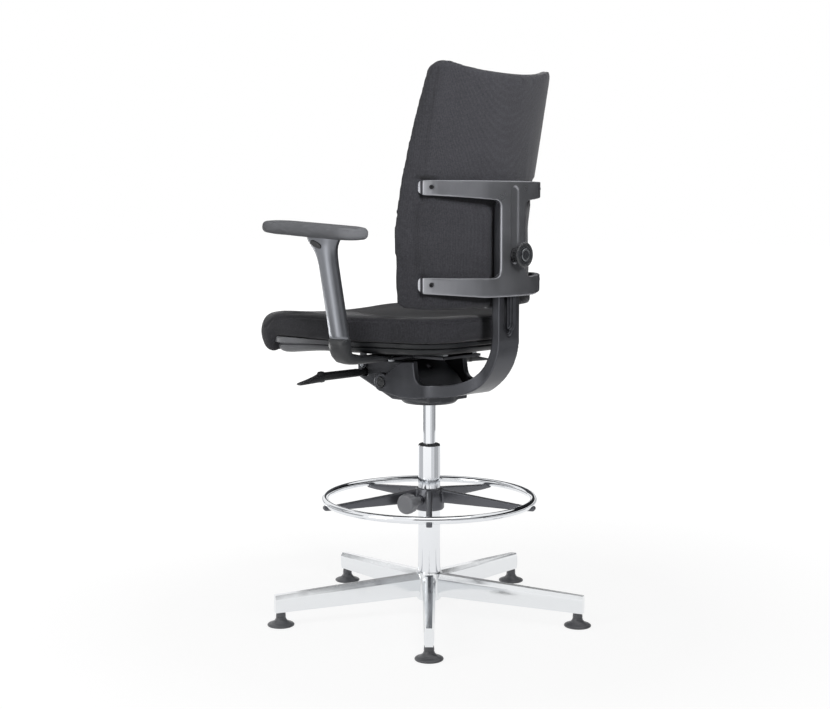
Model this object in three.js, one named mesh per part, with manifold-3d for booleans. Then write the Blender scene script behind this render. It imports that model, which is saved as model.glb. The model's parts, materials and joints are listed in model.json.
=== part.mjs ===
// Drafting chair: a height-adjustable synchro chair on a five-leg star base with glides and a foot ring.
// Millimetres, +Z up. The chair faces -Y and the sitter's left is +X. The floor is z = 0, and the origin
// is the middle of the footprint. Angles are in degrees.
import * as THREE from 'three';
import { mergeVertices } from 'three/addons/utils/BufferGeometryUtils.js';
import Module from 'manifold-3d';

const wasm = await Module();
wasm.setup();

// ---------------------------------------------------------------- driving dimensions
const COLUMN_X = 22; // column axis from the middle of the footprint
const COLUMN_Y = 11;
const FIT = 0.3; // gap between pieces that touch, seat or turn in each other
const RUN = 1; // gap between pieces that swing past each other
const PAST = 500; // beyond the edge of any piece, for cutting solids

// Star base
const LEG_COUNT = 5;
const FIRST_LEG = 42; // direction of the first leg from +X
const GLIDE_CIRCLE = 343; // radius of the circle through the glides
const LEG_OVERHANG = 13; // leg beyond the glide
const LEG_UNDERSIDE = 30;
const LEG_END_HEIGHT = 39;
const LEG_ROOT_HEIGHT = 54;
const LEG_END_WIDTH = 21;
const LEG_ROOT_WIDTH = 31;
const LEG_WALL = 5;
const HUB_TOP = 97;
const HUB_BOTTOM = 33;
const HUB_WALL = 4.5;

// Glides
const GLIDE_RADIUS = 30;
const GLIDE_RIM = 4;
const GLIDE_NECK_RADIUS = 9;
const GLIDE_PIN_RADIUS = 5;
const GLIDE_PIN_LENGTH = 18;

// Gas lift
const TUBE_RADIUS = 25;
const TUBE_WALL = 2.5;
const TUBE_TOP = 385;
const TUBE_BOTTOM = 38;
const PISTON_RADIUS = 14;
const PISTON_FOOT = 200; // bottom of the piston inside the tube
const PISTON_TAPER = 1.2; // radius lost over the taper
const VALVE_PIN_RADIUS = 4;
const VALVE_PIN_HEIGHT = 6;
const BUSHING_DEPTH = 45;
const BUSHING_LIP = 4;
const TAPER_LENGTH = 58;

// Foot ring
const RING_RADIUS = 234; // to the middle of the tube
const RING_TUBE_RADIUS = 8;
const RING_HEIGHT = 264;
const COLLAR_RADIUS = 34;
const COLLAR_BOTTOM = 239;
const COLLAR_TOP = 289;
const SPOKE_WIDTH = 13;
const SPOKE_END_HEIGHT = 11;
const SPOKE_ROOT_HEIGHT = 30;
const SPOKE_OVERHANG = 12; // spoke beyond the middle of the ring tube
const RING_KNOB_ANGLE = -36; // from the first leg
const RING_KNOB_RADIUS = 20;
const RING_KNOB_LENGTH = 24;
const RING_KNOB_REACH = 94; // outer face from the column axis
const STUD_RADIUS = 4;
const STUD_BOSS_RADIUS = 11;

// Mechanism. Heights from here on are from the underside of the mechanism.
const MECHANISM_HEIGHT = 478;
const BOSS_RADIUS = 63;
const BOSS_BOTTOM = 4;
const BOSS_TOP = 30;
const SLEEVE_RADIUS = 20;
const HOUSING_WIDTH = 132;
const HOUSING_FRONT = -163;
const HOUSING_TOP = 100;
const PIVOT_Y = -65;
const PIVOT_Z = 52;
const PIN_RADIUS = 7;
const PIVOT_CAP_RADIUS = 12;
const CAP_DEPTH = 3; // of its recess in the cheek
const PIVOT_BOSS_RADIUS = 21;
const FRONT_PIN_Y = -138;
const FRONT_PIN_Z = 84;
const FRONT_PIN_RADIUS = 5;

// Back fork
const FORK_WIDTH = 180;
const CHEEK_THICKNESS = 14;
const CHEEK_TOP = 104;
const CHEEK_REAR = 34;
const CHEEK_UNDERSIDE = 22;
const BEAM_UNDERSIDE = 30;
const BEAM_TOP = 57;
const SPINE_WIDTH = 68;
const SPINE_FRONT = 208;
const SPINE_REAR = 228.5;
const SPINE_TOP = 449;
const BEND_RADIUS = 132; // outside of the bend from beam to spine
const BEND_INSIDE_RADIUS = 110;
const FORK_CROTCH = 128; // rear end of the opening between the cheeks
const SLOT_WIDTH = 10;
const SLOT_BOTTOM = 172;
const SLOT_TOP = 421;
const TRACK_WIDTH = 21; // shallow track round the slot
const TRACK_DEPTH = 3;

// Seat carrier and seat
const CARRIER_BOTTOM = 110;
const CARRIER_THICKNESS = 6;
const LUG_THICKNESS = 5;
const LUG_RADIUS = 9;
const CARRIER_FRONT = -152;
const CARRIER_REAR = 96;
const WING_WIDTH = 270; // across the two wings that the armrests bolt to
const WING_FRONT = -52;
const WING_REAR = 18;
const RAIL_SPACING = 96;
const RAIL_WIDTH = 14;
const RAIL_HEIGHT = 8;
const PAN_HEIGHT = 27;
const PAN_FLOOR = 5;
const PAN_WALL = 5;
const SEAT_WIDTH = 466;
const SEAT_REAR_WIDTH = 372;
const SEAT_FRONT = -352;
const SEAT_REAR = 168;
const SEAT_SHARE_WIDE = 0.45; // share of the depth, from the front, that has the full width
const SEAT_FRONT_CORNER = 95;
const SEAT_REAR_CORNER = 112;
const CUSHION_THICKNESS = 77.5; // from the underside of the nose to the crown
const WATERFALL = 150; // length over which the crown falls to the nose
const CUSHION_ROLL = 14; // radius of the rolled side edges
const NOSE_ROLL = 28; // and of the rolled front edge
const NOSE_LIFT = 2; // underside of the nose above the underside of the pan
const CUSHION_OVERHANG = 7; // cushion beyond the pan all round
const PAN_SETBACK = 44; // pan behind the front of the cushion

// Armrests
const ARM_OFFSET = 262; // middle of the post from the middle of the chair
const ARM_Y = -17; // middle of the post at its foot
const ARM_LEAN = 11.7; // forward lean of the post
const POST_FOOT = 162;
const POST_LENGTH = 218; // along the lean
const POST_DEPTH = 50;
const POST_THICKNESS = 26;
const POST_WALL = 4;
const TONGUE_LENGTH = 120;
const ELBOW_RADIUS = 32;
const BRACKET_THICKNESS = 16;
const BRACKET_DEPTH = 46;
const LAP_LENGTH = 36; // lap of the bracket over the wing
const BRACKET_DROP = 4; // underside of the bracket below the carrier plate
const PAD_LENGTH = 281;
const PAD_WIDTH = 86;
const PAD_THICKNESS = 25;
const PAD_Y = -94;
const PAD_HEIGHT = 377.5; // underside at the post
const PAD_TILT = 3.1;
const BUTTON_LENGTH = 25;
const BUTTON_HEIGHT = 13;
const BUTTON_Y = -66;
const BUTTON_Z = 360.5;
const BUTTON_TRAVEL = 2.5;
const FLARE_LENGTH = 99; // top of the post, under the pad
const FLARE_WIDTH = 38;
const FLARE_HEIGHT = 27;

// Levers
const LEFT_LEVER_Y = -138;
const LEFT_LEVER_Z = 67.5;
const RIGHT_LEVER_Y = -56;
const RIGHT_LEVER_Z = 87;
const LEVER_SHAFT_LENGTH = 128;
const LEVER_SHAFT_DEPTH = 17;
const LEVER_SHAFT_HEIGHT = 9;
const LEVER_PADDLE_LENGTH = 68;
const LEVER_DROOP = 8;

// Back carrier
const CARRIER_ARM_SPAN = 189; // half the width, to the middle of the arm's thickness
const CARRIER_ARM_DEPTH = 134; // how far the arms come forward from the column
const CARRIER_ARM_THICKNESS = 12;
const LOWER_ARM_BOTTOM = 251;
const UPPER_ARM_TOP = 493;
const ARM_ROOT_HEIGHT = 40;
const ARM_TIP_HEIGHT = 29;
const ARM_FILLET = 20;
const COLUMN_WIDTH = 80;
const BACK_KNOB_Z = 339;
const BACK_KNOB_RADIUS = 27;
const BACK_KNOB_REACH = 265; // rear face
const BOLT_RADIUS = 4;

// Backrest
const BACK_BOTTOM = 228;
const BACK_TOP = 737; // virtual top corners
const BACK_TOP_DIP = 26;
const BACK_WIDTH = 418; // widest, at the lumbar
const BACK_TOP_WIDTH = 366;
const BACK_CORNER = 30;
const BACK_RIM = 34; // thickness at the rim
const BACK_RIM_TAPER = 32; // rear face narrower than the front face at each side, at the lumbar
const BACK_RIM_TAPER_TOP = 4;
const BACK_BOW = 0.75; // fullness of the bowed rear face, 0.5 for an ellipse and 1 for a parabola
const BACK_REAR_WRAP = 74; // middle of the rear face behind its side edges, at the lumbar
const BACK_REAR_WRAP_TOP = 40;
const BACK_FRONT_WRAP = 50; // middle of the front face behind its side edges
const BACK_LUMBAR_Y = 107; // middle of the side edge at the lumbar
const BACK_LUMBAR_Z = 392;
const BACK_TOP_SETBACK = 72; // top edge behind the lumbar
const BACK_BOTTOM_SETBACK = 17; // bottom edge behind the lumbar
const BACK_PANEL_SHARE = 0.2; // share of the thickness that is the stiff rear panel

// ---------------------------------------------------------------- worked-out sizes
const rad = THREE.MathUtils.degToRad;
const legAngle = (i) => rad(FIRST_LEG + (360 / LEG_COUNT) * i);
const HUB_RADIUS = TUBE_RADIUS + HUB_WALL;
const LEG_LENGTH = GLIDE_CIRCLE + LEG_OVERHANG;
const TUBE_INSIDE = TUBE_RADIUS - TUBE_WALL;
const CARRIER_TOP = CARRIER_BOTTOM + CARRIER_THICKNESS;
const PAN_BOTTOM = CARRIER_TOP + RAIL_HEIGHT + 2 * FIT;
const CUSHION_BOTTOM = PAN_BOTTOM + PAN_FLOOR + FIT;
const COLUMN_FRONT = SPINE_REAR + FIT;
const COLUMN_REAR = COLUMN_FRONT + CARRIER_ARM_THICKNESS + 1.5;
const ARM_CENTRE_Y = COLUMN_REAR - CARRIER_ARM_THICKNESS / 2 - CARRIER_ARM_DEPTH;

// ---------------------------------------------------------------- materials
const finish = (color, roughness, metalness = 0) =>
  new THREE.MeshStandardMaterial({ color, roughness, metalness });
const polished = finish('#d9dbdd', 0.12, 1);
const chrome = finish('#e4e6e8', 0.06, 1);
const graphite = finish('#2b2c2f', 0.45);
const darkPlastic = finish('#26272a', 0.55);
const panPlastic = finish('#55575b', 0.55);
const castBlack = finish('#1d1e20', 0.5, 0.4);
const steel = finish('#8f9296', 0.35, 1);
const armMetal = finish('#6f7276', 0.32, 0.8);
const softPad = finish('#343538', 0.7);
const fabric = finish('#0f0f11', 0.95);

// ---------------------------------------------------------------- helpers
// A closed three.js geometry as a manifold solid with its faces pointing out.
function solid(geometry) {
  const bare = geometry.clone();
  bare.deleteAttribute('normal');
  bare.deleteAttribute('uv');
  const welded = mergeVertices(bare, 1e-4);
  const points = welded.attributes.position;
  const index = Uint32Array.from(welded.index.array);
  const [a, b, c] = [new THREE.Vector3(), new THREE.Vector3(), new THREE.Vector3()];
  let volume = 0;
  for (let i = 0; i < index.length; i += 3) {
    a.fromBufferAttribute(points, index[i]);
    b.fromBufferAttribute(points, index[i + 1]);
    c.fromBufferAttribute(points, index[i + 2]);
    volume += a.dot(b.cross(c));
  }
  if (volume < 0) {
    for (let i = 0; i < index.length; i += 3) {
      [index[i], index[i + 1]] = [index[i + 1], index[i]];
    }
  }
  const mesh = new wasm.Mesh({
    numProp: 3,
    vertProperties: Float32Array.from(points.array),
    triVerts: index,
  });
  return new wasm.Manifold(mesh);
}

const join = (...solids) => solids.reduce((all, next) => all.add(next));
const cut = (body, ...tools) => tools.reduce((rest, tool) => rest.subtract(tool), body);
const overlap = (...solids) => solids.reduce((all, next) => all.intersect(next));

// Mirrors a solid made for the left side onto the chosen side.
const handed = (body, side) => (side > 0 ? body : body.mirror([1, 0, 0]));

// A named mesh of a solid or of a closed geometry, added to a group.
function piece(group, name, shape, material) {
  const mesh = (shape.isBufferGeometry ? solid(shape) : shape).getMesh();
  const geometry = new THREE.BufferGeometry();
  geometry.setAttribute('position', new THREE.BufferAttribute(mesh.vertProperties, 3));
  geometry.setIndex(new THREE.BufferAttribute(mesh.triVerts, 1));
  geometry.computeVertexNormals();
  const node = new THREE.Mesh(geometry, material);
  node.name = name;
  group.add(node);
  return node;
}

// Extrudes a 2-D shape between two places on an axis. The shape is drawn in plan (x, y) for axis 'z',
// from the side (y, z) for axis 'x' and from the front (x, z) for axis 'y'.
function slab(shape, axis, from, to, bevel = 0, curveSegments = 3) {
  const geometry = new THREE.ExtrudeGeometry(shape, {
    depth: to - from - 2 * bevel,
    bevelEnabled: bevel > 0,
    bevelThickness: bevel,
    bevelSize: bevel,
    bevelOffset: -bevel,
    bevelSegments: 1,
    curveSegments,
  });
  geometry.translate(0, 0, from + bevel);
  if (axis === 'x') {
    geometry.applyMatrix4(new THREE.Matrix4().set(0, 0, 1, 0, 1, 0, 0, 0, 0, 1, 0, 0, 0, 0, 0, 1));
  }
  if (axis === 'y') {
    geometry.applyMatrix4(new THREE.Matrix4().set(1, 0, 0, 0, 0, 0, 1, 0, 0, 1, 0, 0, 0, 0, 0, 1));
  }
  return geometry;
}

// A body of revolution about Z. Its profile is a list of [radius, height].
function turned(profile, segments = 24) {
  const points = profile.map(([r, z]) => new THREE.Vector2(r, z));
  return new THREE.LatheGeometry(points, segments).rotateX(Math.PI / 2);
}

// A ring about Z: outer and inner radius, bottom and top.
function ring(outer, inner, bottom, top, segments = 24) {
  const section = [[inner, bottom], [outer, bottom], [outer, top], [inner, top], [inner, bottom]];
  return turned(section, segments);
}

// A round bar along 'x', 'y' or 'z' from one place to another, through (u, v) in the other two.
function bar(axis, from, to, radius, u, v, segments = 20) {
  const geometry = new THREE.CylinderGeometry(radius, radius, to - from, segments);
  const middle = (from + to) / 2;
  if (axis === 'x') {
    return geometry.rotateZ(Math.PI / 2).translate(middle, u, v);
  }
  if (axis === 'y') {
    return geometry.translate(u, middle, v);
  }
  return geometry.rotateX(Math.PI / 2).translate(u, v, middle);
}

// A box between two corners.
function block(x0, x1, y0, y1, z0, z1) {
  const geometry = new THREE.BoxGeometry(x1 - x0, y1 - y0, z1 - z0);
  return geometry.translate((x0 + x1) / 2, (y0 + y1) / 2, (z0 + z1) / 2);
}

// Moves every vertex of a geometry through a function of its place.
function warp(geometry, place) {
  const points = geometry.attributes.position;
  const v = new THREE.Vector3();
  for (let i = 0; i < points.count; i += 1) {
    v.fromBufferAttribute(points, i);
    place(v);
    points.setXYZ(i, v.x, v.y, v.z);
  }
  return geometry;
}

// A rectangle with round corners, about (cx, cy).
function roundedRect(cx, cy, width, height, radius) {
  const shape = new THREE.Shape();
  const [x, y] = [width / 2 - radius, height / 2 - radius];
  shape.absarc(cx + x, cy + y, radius, 0, Math.PI / 2);
  shape.absarc(cx - x, cy + y, radius, Math.PI / 2, Math.PI);
  shape.absarc(cx - x, cy - y, radius, Math.PI, 1.5 * Math.PI);
  shape.absarc(cx + x, cy - y, radius, 1.5 * Math.PI, 2 * Math.PI);
  return shape;
}

// A smooth step from 0 to 1 as t goes from a to b.
const ease = (t, a, b) => THREE.MathUtils.smoothstep(t, a, b);
const lerp = THREE.MathUtils.lerp;
const polygon = (points) => new THREE.Shape(points.map(([u, v]) => new THREE.Vector2(u, v)));

// ---------------------------------------------------------------- groups
const chair = new THREE.Group();
const column = new THREE.Group(); // on the column axis, at the floor
column.position.set(COLUMN_X, COLUMN_Y, 0);
chair.add(column);
const chassis = new THREE.Group(); // on the column axis, at the underside of the mechanism
chassis.position.z = MECHANISM_HEIGHT;
column.add(chassis);

// ---------------------------------------------------------------- star base and glides
// Moves a unit leg section, drawn from -1 to 1 across and 0 to 1 high, to its place along the leg.
function legTaper(inset, lift) {
  return (v) => {
    const t = v.x / LEG_LENGTH;
    const half = lerp(LEG_ROOT_WIDTH, LEG_END_WIDTH, t) / 2 - inset;
    const top = lerp(HUB_TOP - 2, LEG_UNDERSIDE + LEG_END_HEIGHT, t) - inset;
    const bottom = lerp(HUB_TOP - LEG_ROOT_HEIGHT, LEG_UNDERSIDE, t) - lift;
    v.set(v.x, v.y * half, lerp(bottom, top, v.z));
  };
}

function starBase() {
  const section = polygon([
    [-0.8, 0], [0.8, 0], [1, 0.3], [1, 0.78], [0.6, 1], [-0.6, 1], [-1, 0.78], [-1, 0.3],
  ]);
  const leg = warp(slab(section, 'x', 0, LEG_LENGTH), legTaper(0, 0));
  const channelEnd = GLIDE_CIRCLE - GLIDE_NECK_RADIUS - LEG_WALL;
  const channel = warp(block(HUB_RADIUS + LEG_WALL, channelEnd, -1, 1, 0, 1), legTaper(LEG_WALL, 5));
  const pinTop = LEG_UNDERSIDE + GLIDE_PIN_LENGTH + RUN;
  const pinHole = bar('z', LEG_UNDERSIDE - 2, pinTop, GLIDE_PIN_RADIUS + FIT, GLIDE_CIRCLE, 0, 12);
  const oneLeg = cut(solid(leg), solid(channel), solid(pinHole));
  const hub = solid(turned([
    [0, HUB_BOTTOM], [HUB_RADIUS - 3, HUB_BOTTOM], [HUB_RADIUS, HUB_BOTTOM + 5],
    [HUB_RADIUS, HUB_TOP - 3], [HUB_RADIUS - 2, HUB_TOP], [0, HUB_TOP],
  ], 32));
  const legs = [];
  for (let i = 0; i < LEG_COUNT; i += 1) {
    legs.push(oneLeg.rotate([0, 0, THREE.MathUtils.radToDeg(legAngle(i))]));
  }
  const bore = bar('z', 0, HUB_TOP + 5, TUBE_RADIUS + FIT, 0, 0, 32);
  return cut(join(hub, ...legs), solid(bore));
}
piece(column, 'star_base', starBase(), polished);

function glide() {
  const [R, neck, top] = [GLIDE_RADIUS, GLIDE_NECK_RADIUS, LEG_UNDERSIDE - FIT];
  return turned([
    [0, 0], [R - 2, 0], [R, 1.5], [R, GLIDE_RIM], [R * 0.7, GLIDE_RIM + 5],
    [neck + 2, GLIDE_RIM + 11], [neck, GLIDE_RIM + 15], [neck, top],
    [GLIDE_PIN_RADIUS, top], [GLIDE_PIN_RADIUS, LEG_UNDERSIDE + GLIDE_PIN_LENGTH],
    [0, LEG_UNDERSIDE + GLIDE_PIN_LENGTH],
  ], 16);
}
for (let i = 0; i < LEG_COUNT; i += 1) {
  const a = legAngle(i);
  const foot = piece(column, `glide_${i + 1}`, glide(), darkPlastic);
  foot.position.set(GLIDE_CIRCLE * Math.cos(a), GLIDE_CIRCLE * Math.sin(a), 0);
}

// ---------------------------------------------------------------- gas lift
piece(column, 'column_tube', ring(TUBE_RADIUS, TUBE_INSIDE, TUBE_BOTTOM, TUBE_TOP, 32), chrome);
piece(column, 'column_bushing', turned([
  [PISTON_RADIUS + FIT, TUBE_TOP - BUSHING_DEPTH], [TUBE_INSIDE - FIT, TUBE_TOP - BUSHING_DEPTH],
  [TUBE_INSIDE - FIT, TUBE_TOP + FIT], [TUBE_RADIUS - 0.5, TUBE_TOP + FIT],
  [TUBE_RADIUS - 3, TUBE_TOP + BUSHING_LIP], [PISTON_RADIUS + FIT, TUBE_TOP + BUSHING_LIP],
  [PISTON_RADIUS + FIT, TUBE_TOP - BUSHING_DEPTH],
], 28), darkPlastic);

const TAPER_TOP_RADIUS = PISTON_RADIUS - PISTON_TAPER;
const taperStart = MECHANISM_HEIGHT + 4;
const taperEnd = taperStart + TAPER_LENGTH;
piece(column, 'gas_piston', turned([
  [0, PISTON_FOOT], [PISTON_RADIUS - 1, PISTON_FOOT], [PISTON_RADIUS, PISTON_FOOT + 1],
  [PISTON_RADIUS, taperStart], [TAPER_TOP_RADIUS, taperEnd], [VALVE_PIN_RADIUS, taperEnd],
  [VALVE_PIN_RADIUS, taperEnd + VALVE_PIN_HEIGHT], [0, taperEnd + VALVE_PIN_HEIGHT],
], 28), chrome);

// ---------------------------------------------------------------- foot ring
const ringTube = (gap) => new THREE.TorusGeometry(RING_RADIUS, RING_TUBE_RADIUS + gap, 8, 50)
  .translate(0, 0, RING_HEIGHT);
piece(column, 'foot_ring', ringTube(0), chrome);

const KNOB_Z = (COLLAR_BOTTOM + COLLAR_TOP) / 2;
const knobAngle = FIRST_LEG + RING_KNOB_ANGLE;
const RING_KNOB_ROOT = RING_KNOB_REACH - RING_KNOB_LENGTH;
const BOSS_FACE = COLLAR_RADIUS + 6; // face of the boss that the clamp stud is screwed into
function ringHub() {
  const tip = RING_RADIUS + SPOKE_OVERHANG;
  const low = RING_HEIGHT - RING_TUBE_RADIUS - 6;
  const blade = polygon([
    [TUBE_RADIUS + 4, COLLAR_TOP - 3 - SPOKE_ROOT_HEIGHT], [RING_RADIUS - 20, low],
    [tip - 4, low], [tip, low + 4], [tip, low + 8], [tip - 3, low + SPOKE_END_HEIGHT],
    [RING_RADIUS - 14, low + SPOKE_END_HEIGHT], [TUBE_RADIUS + 4, COLLAR_TOP - 3],
  ]);
  const spoke = solid(slab(blade, 'y', -SPOKE_WIDTH / 2, SPOKE_WIDTH / 2, 1));
  const spokes = [];
  for (let i = 0; i < LEG_COUNT; i += 1) {
    spokes.push(spoke.rotate([0, 0, THREE.MathUtils.radToDeg(legAngle(i))]));
  }
  const collar = solid(turned([
    [0, COLLAR_BOTTOM], [COLLAR_RADIUS - 3, COLLAR_BOTTOM], [COLLAR_RADIUS, COLLAR_BOTTOM + 4],
    [COLLAR_RADIUS, COLLAR_TOP - 18], [COLLAR_RADIUS - 4, COLLAR_TOP], [0, COLLAR_TOP],
  ], 28));
  const boss = solid(bar('x', TUBE_RADIUS + 3, BOSS_FACE, STUD_BOSS_RADIUS, 0, KNOB_Z))
    .rotate([0, 0, knobAngle]);
  const thread = solid(bar('x', 0, RING_KNOB_REACH, STUD_RADIUS + FIT, 0, KNOB_Z))
    .rotate([0, 0, knobAngle]);
  const bore = solid(bar('z', COLLAR_BOTTOM - 5, COLLAR_TOP + 5, TUBE_RADIUS + FIT, 0, 0, 32));
  return cut(join(collar, boss, ...spokes), bore, thread, solid(ringTube(FIT)));
}
piece(column, 'foot_ring_hub', ringHub(), graphite);

// The knob turns on a radial axis; its stud presses on the column.
const ringKnob = new THREE.Group();
ringKnob.rotation.z = rad(knobAngle);
ringKnob.position.z = KNOB_Z;
column.add(ringKnob);
function radialTurned(profile, segments) {
  return turned(profile, segments).rotateY(Math.PI / 2);
}
piece(ringKnob, 'foot_ring_knob', radialTurned([
  [STUD_RADIUS + FIT, BOSS_FACE + RUN], [9, BOSS_FACE + RUN], [9, RING_KNOB_ROOT],
  [RING_KNOB_RADIUS - 3, RING_KNOB_ROOT], [RING_KNOB_RADIUS, RING_KNOB_ROOT + 4],
  [RING_KNOB_RADIUS, RING_KNOB_REACH - 8], [RING_KNOB_RADIUS - 4, RING_KNOB_REACH - 3],
  [RING_KNOB_RADIUS - 10, RING_KNOB_REACH], [0, RING_KNOB_REACH], [0, RING_KNOB_REACH - 9],
  [STUD_RADIUS + FIT, RING_KNOB_REACH - 9], [STUD_RADIUS + FIT, BOSS_FACE + RUN],
], 24), darkPlastic);
piece(ringKnob, 'foot_ring_clamp_stud', bar(
  'x', TUBE_RADIUS + FIT, RING_KNOB_REACH - 9 - FIT, STUD_RADIUS, 0, 0, 12,
), steel);

// ---------------------------------------------------------------- mechanism housing
const HALF_HOUSING = HOUSING_WIDTH / 2;
const SPRING_RADIUS = 15;
const SPRING_WIRE = 2.4;
const SPRING_Z = HOUSING_TOP - 22;
const SPRING_FRONT = -112;
const SPRING_REAR = -34;
const KNUCKLE_X = HALF_HOUSING - 8; // lever pivot inside the wall of the housing
const levers = [
  { side: 1, name: 'left', y: LEFT_LEVER_Y, z: LEFT_LEVER_Z },
  { side: -1, name: 'right', y: RIGHT_LEVER_Y, z: RIGHT_LEVER_Z },
];
const KNUCKLE_RADIUS = 5.5;
const KNUCKLE_LENGTH = 16;
const LEVER_PIN_RADIUS = 2;
const LEVER_PIN_LENGTH = 26;

function housing() {
  const profile = polygon([
    [-55, 12], [HOUSING_FRONT + 3, 55], [HOUSING_FRONT, 62], [HOUSING_FRONT, HOUSING_TOP - 12],
    [HOUSING_FRONT + 10, HOUSING_TOP], [-22, HOUSING_TOP], [28, 66],
    [BOSS_RADIUS - 5, BOSS_TOP + 2], [BOSS_RADIUS - 5, 12],
  ]);
  const box = solid(slab(profile, 'x', -HALF_HOUSING, HALF_HOUSING, 4));
  const boss = solid(turned([
    [0, BOSS_BOTTOM], [BOSS_RADIUS - 6, BOSS_BOTTOM], [BOSS_RADIUS, BOSS_BOTTOM + 5],
    [BOSS_RADIUS, BOSS_TOP], [0, BOSS_TOP],
  ], 32));
  const socket = solid(bar('z', -1, TAPER_LENGTH + 5, SLEEVE_RADIUS + FIT, 0, 0, 28));
  const valve = solid(bar('z', TAPER_LENGTH, HOUSING_TOP + 1, 7, 0, 0, 12));
  const pivot = solid(bar('x', -FORK_WIDTH, FORK_WIDTH, PIN_RADIUS + FIT, PIVOT_Y, PIVOT_Z));
  const front = solid(bar(
    'x', -FORK_WIDTH, FORK_WIDTH, FRONT_PIN_RADIUS + FIT, FRONT_PIN_Y, FRONT_PIN_Z, 14,
  ));
  const springBay = solid(block(
    -SPRING_RADIUS - 7, SPRING_RADIUS + 7, SPRING_FRONT - FIT, SPRING_REAR + FIT,
    SPRING_Z - SPRING_RADIUS - 6, HOUSING_TOP + 1,
  ));
  const bays = levers.map(({ side, y, z }) => {
    const [inner, outer] = [side * (KNUCKLE_X - KNUCKLE_RADIUS - RUN), side * (HALF_HOUSING + 1)];
    const bay = block(
      Math.min(inner, outer), Math.max(inner, outer), y - KNUCKLE_LENGTH / 2 - RUN,
      y + KNUCKLE_LENGTH / 2 + RUN, z - KNUCKLE_RADIUS - 3, z + KNUCKLE_RADIUS + 3,
    );
    const half = LEVER_PIN_LENGTH / 2 + FIT;
    const pin = bar('y', y - half, y + half, LEVER_PIN_RADIUS + FIT, side * KNUCKLE_X, z, 10);
    return join(solid(bay), solid(pin));
  });
  return cut(join(box, boss), socket, valve, pivot, front, springBay, ...bays);
}
piece(chassis, 'mechanism_housing', housing(), castBlack);

piece(chassis, 'taper_sleeve', turned([
  [PISTON_RADIUS + FIT, 0], [SLEEVE_RADIUS, 0], [SLEEVE_RADIUS, TAPER_LENGTH + 4],
  [TAPER_TOP_RADIUS + FIT, TAPER_LENGTH + 4], [PISTON_RADIUS + FIT, 4], [PISTON_RADIUS + FIT, 0],
], 28), steel);

// A coil spring: a round wire swept along a helix about the Y direction.
class Coil extends THREE.Curve {
  getPoint(t, target = new THREE.Vector3()) {
    const turns = 5;
    const angle = 2 * Math.PI * turns * t;
    const y = lerp(SPRING_FRONT + SPRING_WIRE, SPRING_REAR - SPRING_WIRE, t);
    return target.set(SPRING_RADIUS * Math.cos(angle), y, SPRING_Z + SPRING_RADIUS * Math.sin(angle));
  }
}
const wire = new THREE.Shape().absarc(0, 0, SPRING_WIRE, 0, 2 * Math.PI);
piece(chassis, 'recline_spring', new THREE.ExtrudeGeometry(wire, {
  extrudePath: new Coil(),
  steps: 50,
  bevelEnabled: false,
  curveSegments: 3,
}), steel);

const pinEnd = FORK_WIDTH / 2 - 4;
piece(chassis, 'recline_pin', bar('x', -pinEnd, pinEnd, PIN_RADIUS, PIVOT_Y, PIVOT_Z, 16), steel);

// ---------------------------------------------------------------- back fork: cheeks, beam and spine
function forkSide() {
  const side = new THREE.Shape();
  const outer = [SPINE_REAR - BEND_RADIUS, BEAM_UNDERSIDE + BEND_RADIUS];
  const inner = [SPINE_FRONT - BEND_INSIDE_RADIUS, BEAM_TOP + BEND_INSIDE_RADIUS];
  side.moveTo(-7, CHEEK_UNDERSIDE);
  side.lineTo(32, CHEEK_UNDERSIDE + 1);
  side.absarc(...outer, BEND_RADIUS, -Math.PI / 2, 0);
  side.lineTo(SPINE_REAR, SPINE_TOP - 5);
  side.lineTo(SPINE_REAR - 4, SPINE_TOP);
  side.lineTo(SPINE_FRONT + 4, SPINE_TOP);
  side.lineTo(SPINE_FRONT, SPINE_TOP - 5);
  side.absarc(...inner, BEND_INSIDE_RADIUS, 0, -Math.PI / 2, true);
  side.lineTo(CHEEK_REAR + 28, BEAM_TOP - 2);
  side.quadraticCurveTo(CHEEK_REAR + 8, BEAM_TOP - 1, CHEEK_REAR + 4, BEAM_TOP + 16);
  side.quadraticCurveTo(CHEEK_REAR + 1, BEAM_TOP + 32, CHEEK_REAR, CHEEK_TOP);
  side.lineTo(4, CHEEK_TOP - 2);
  side.lineTo(-16, CHEEK_TOP - 9);
  side.absarc(PIVOT_Y, PIVOT_Z, PIVOT_BOSS_RADIUS, rad(50), rad(255));
  side.lineTo(-32, CHEEK_UNDERSIDE + 4);
  return side;
}

function forkPlan() {
  const [wide, narrow, rear] = [FORK_WIDTH / 2, SPINE_WIDTH / 2, SPINE_REAR + 1];
  const plan = new THREE.Shape();
  plan.moveTo(-wide, PIVOT_Y - 30);
  plan.lineTo(wide, PIVOT_Y - 30);
  plan.lineTo(wide, 55);
  plan.bezierCurveTo(wide, 120, narrow, 120, narrow, 190);
  plan.lineTo(narrow, rear);
  plan.lineTo(-narrow, rear);
  plan.lineTo(-narrow, 190);
  plan.bezierCurveTo(-narrow, 120, -wide, 120, -wide, 55);
  return plan;
}

function forkOpening() {
  const inside = FORK_WIDTH / 2 - CHEEK_THICKNESS;
  const opening = new THREE.Shape();
  opening.moveTo(-inside, PIVOT_Y - 40);
  opening.lineTo(inside, PIVOT_Y - 40);
  opening.lineTo(inside, 45);
  opening.bezierCurveTo(inside, 95, inside / 2, FORK_CROTCH, 0, FORK_CROTCH);
  opening.bezierCurveTo(-inside / 2, FORK_CROTCH, -inside, 95, -inside, 45);
  return opening;
}

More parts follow.
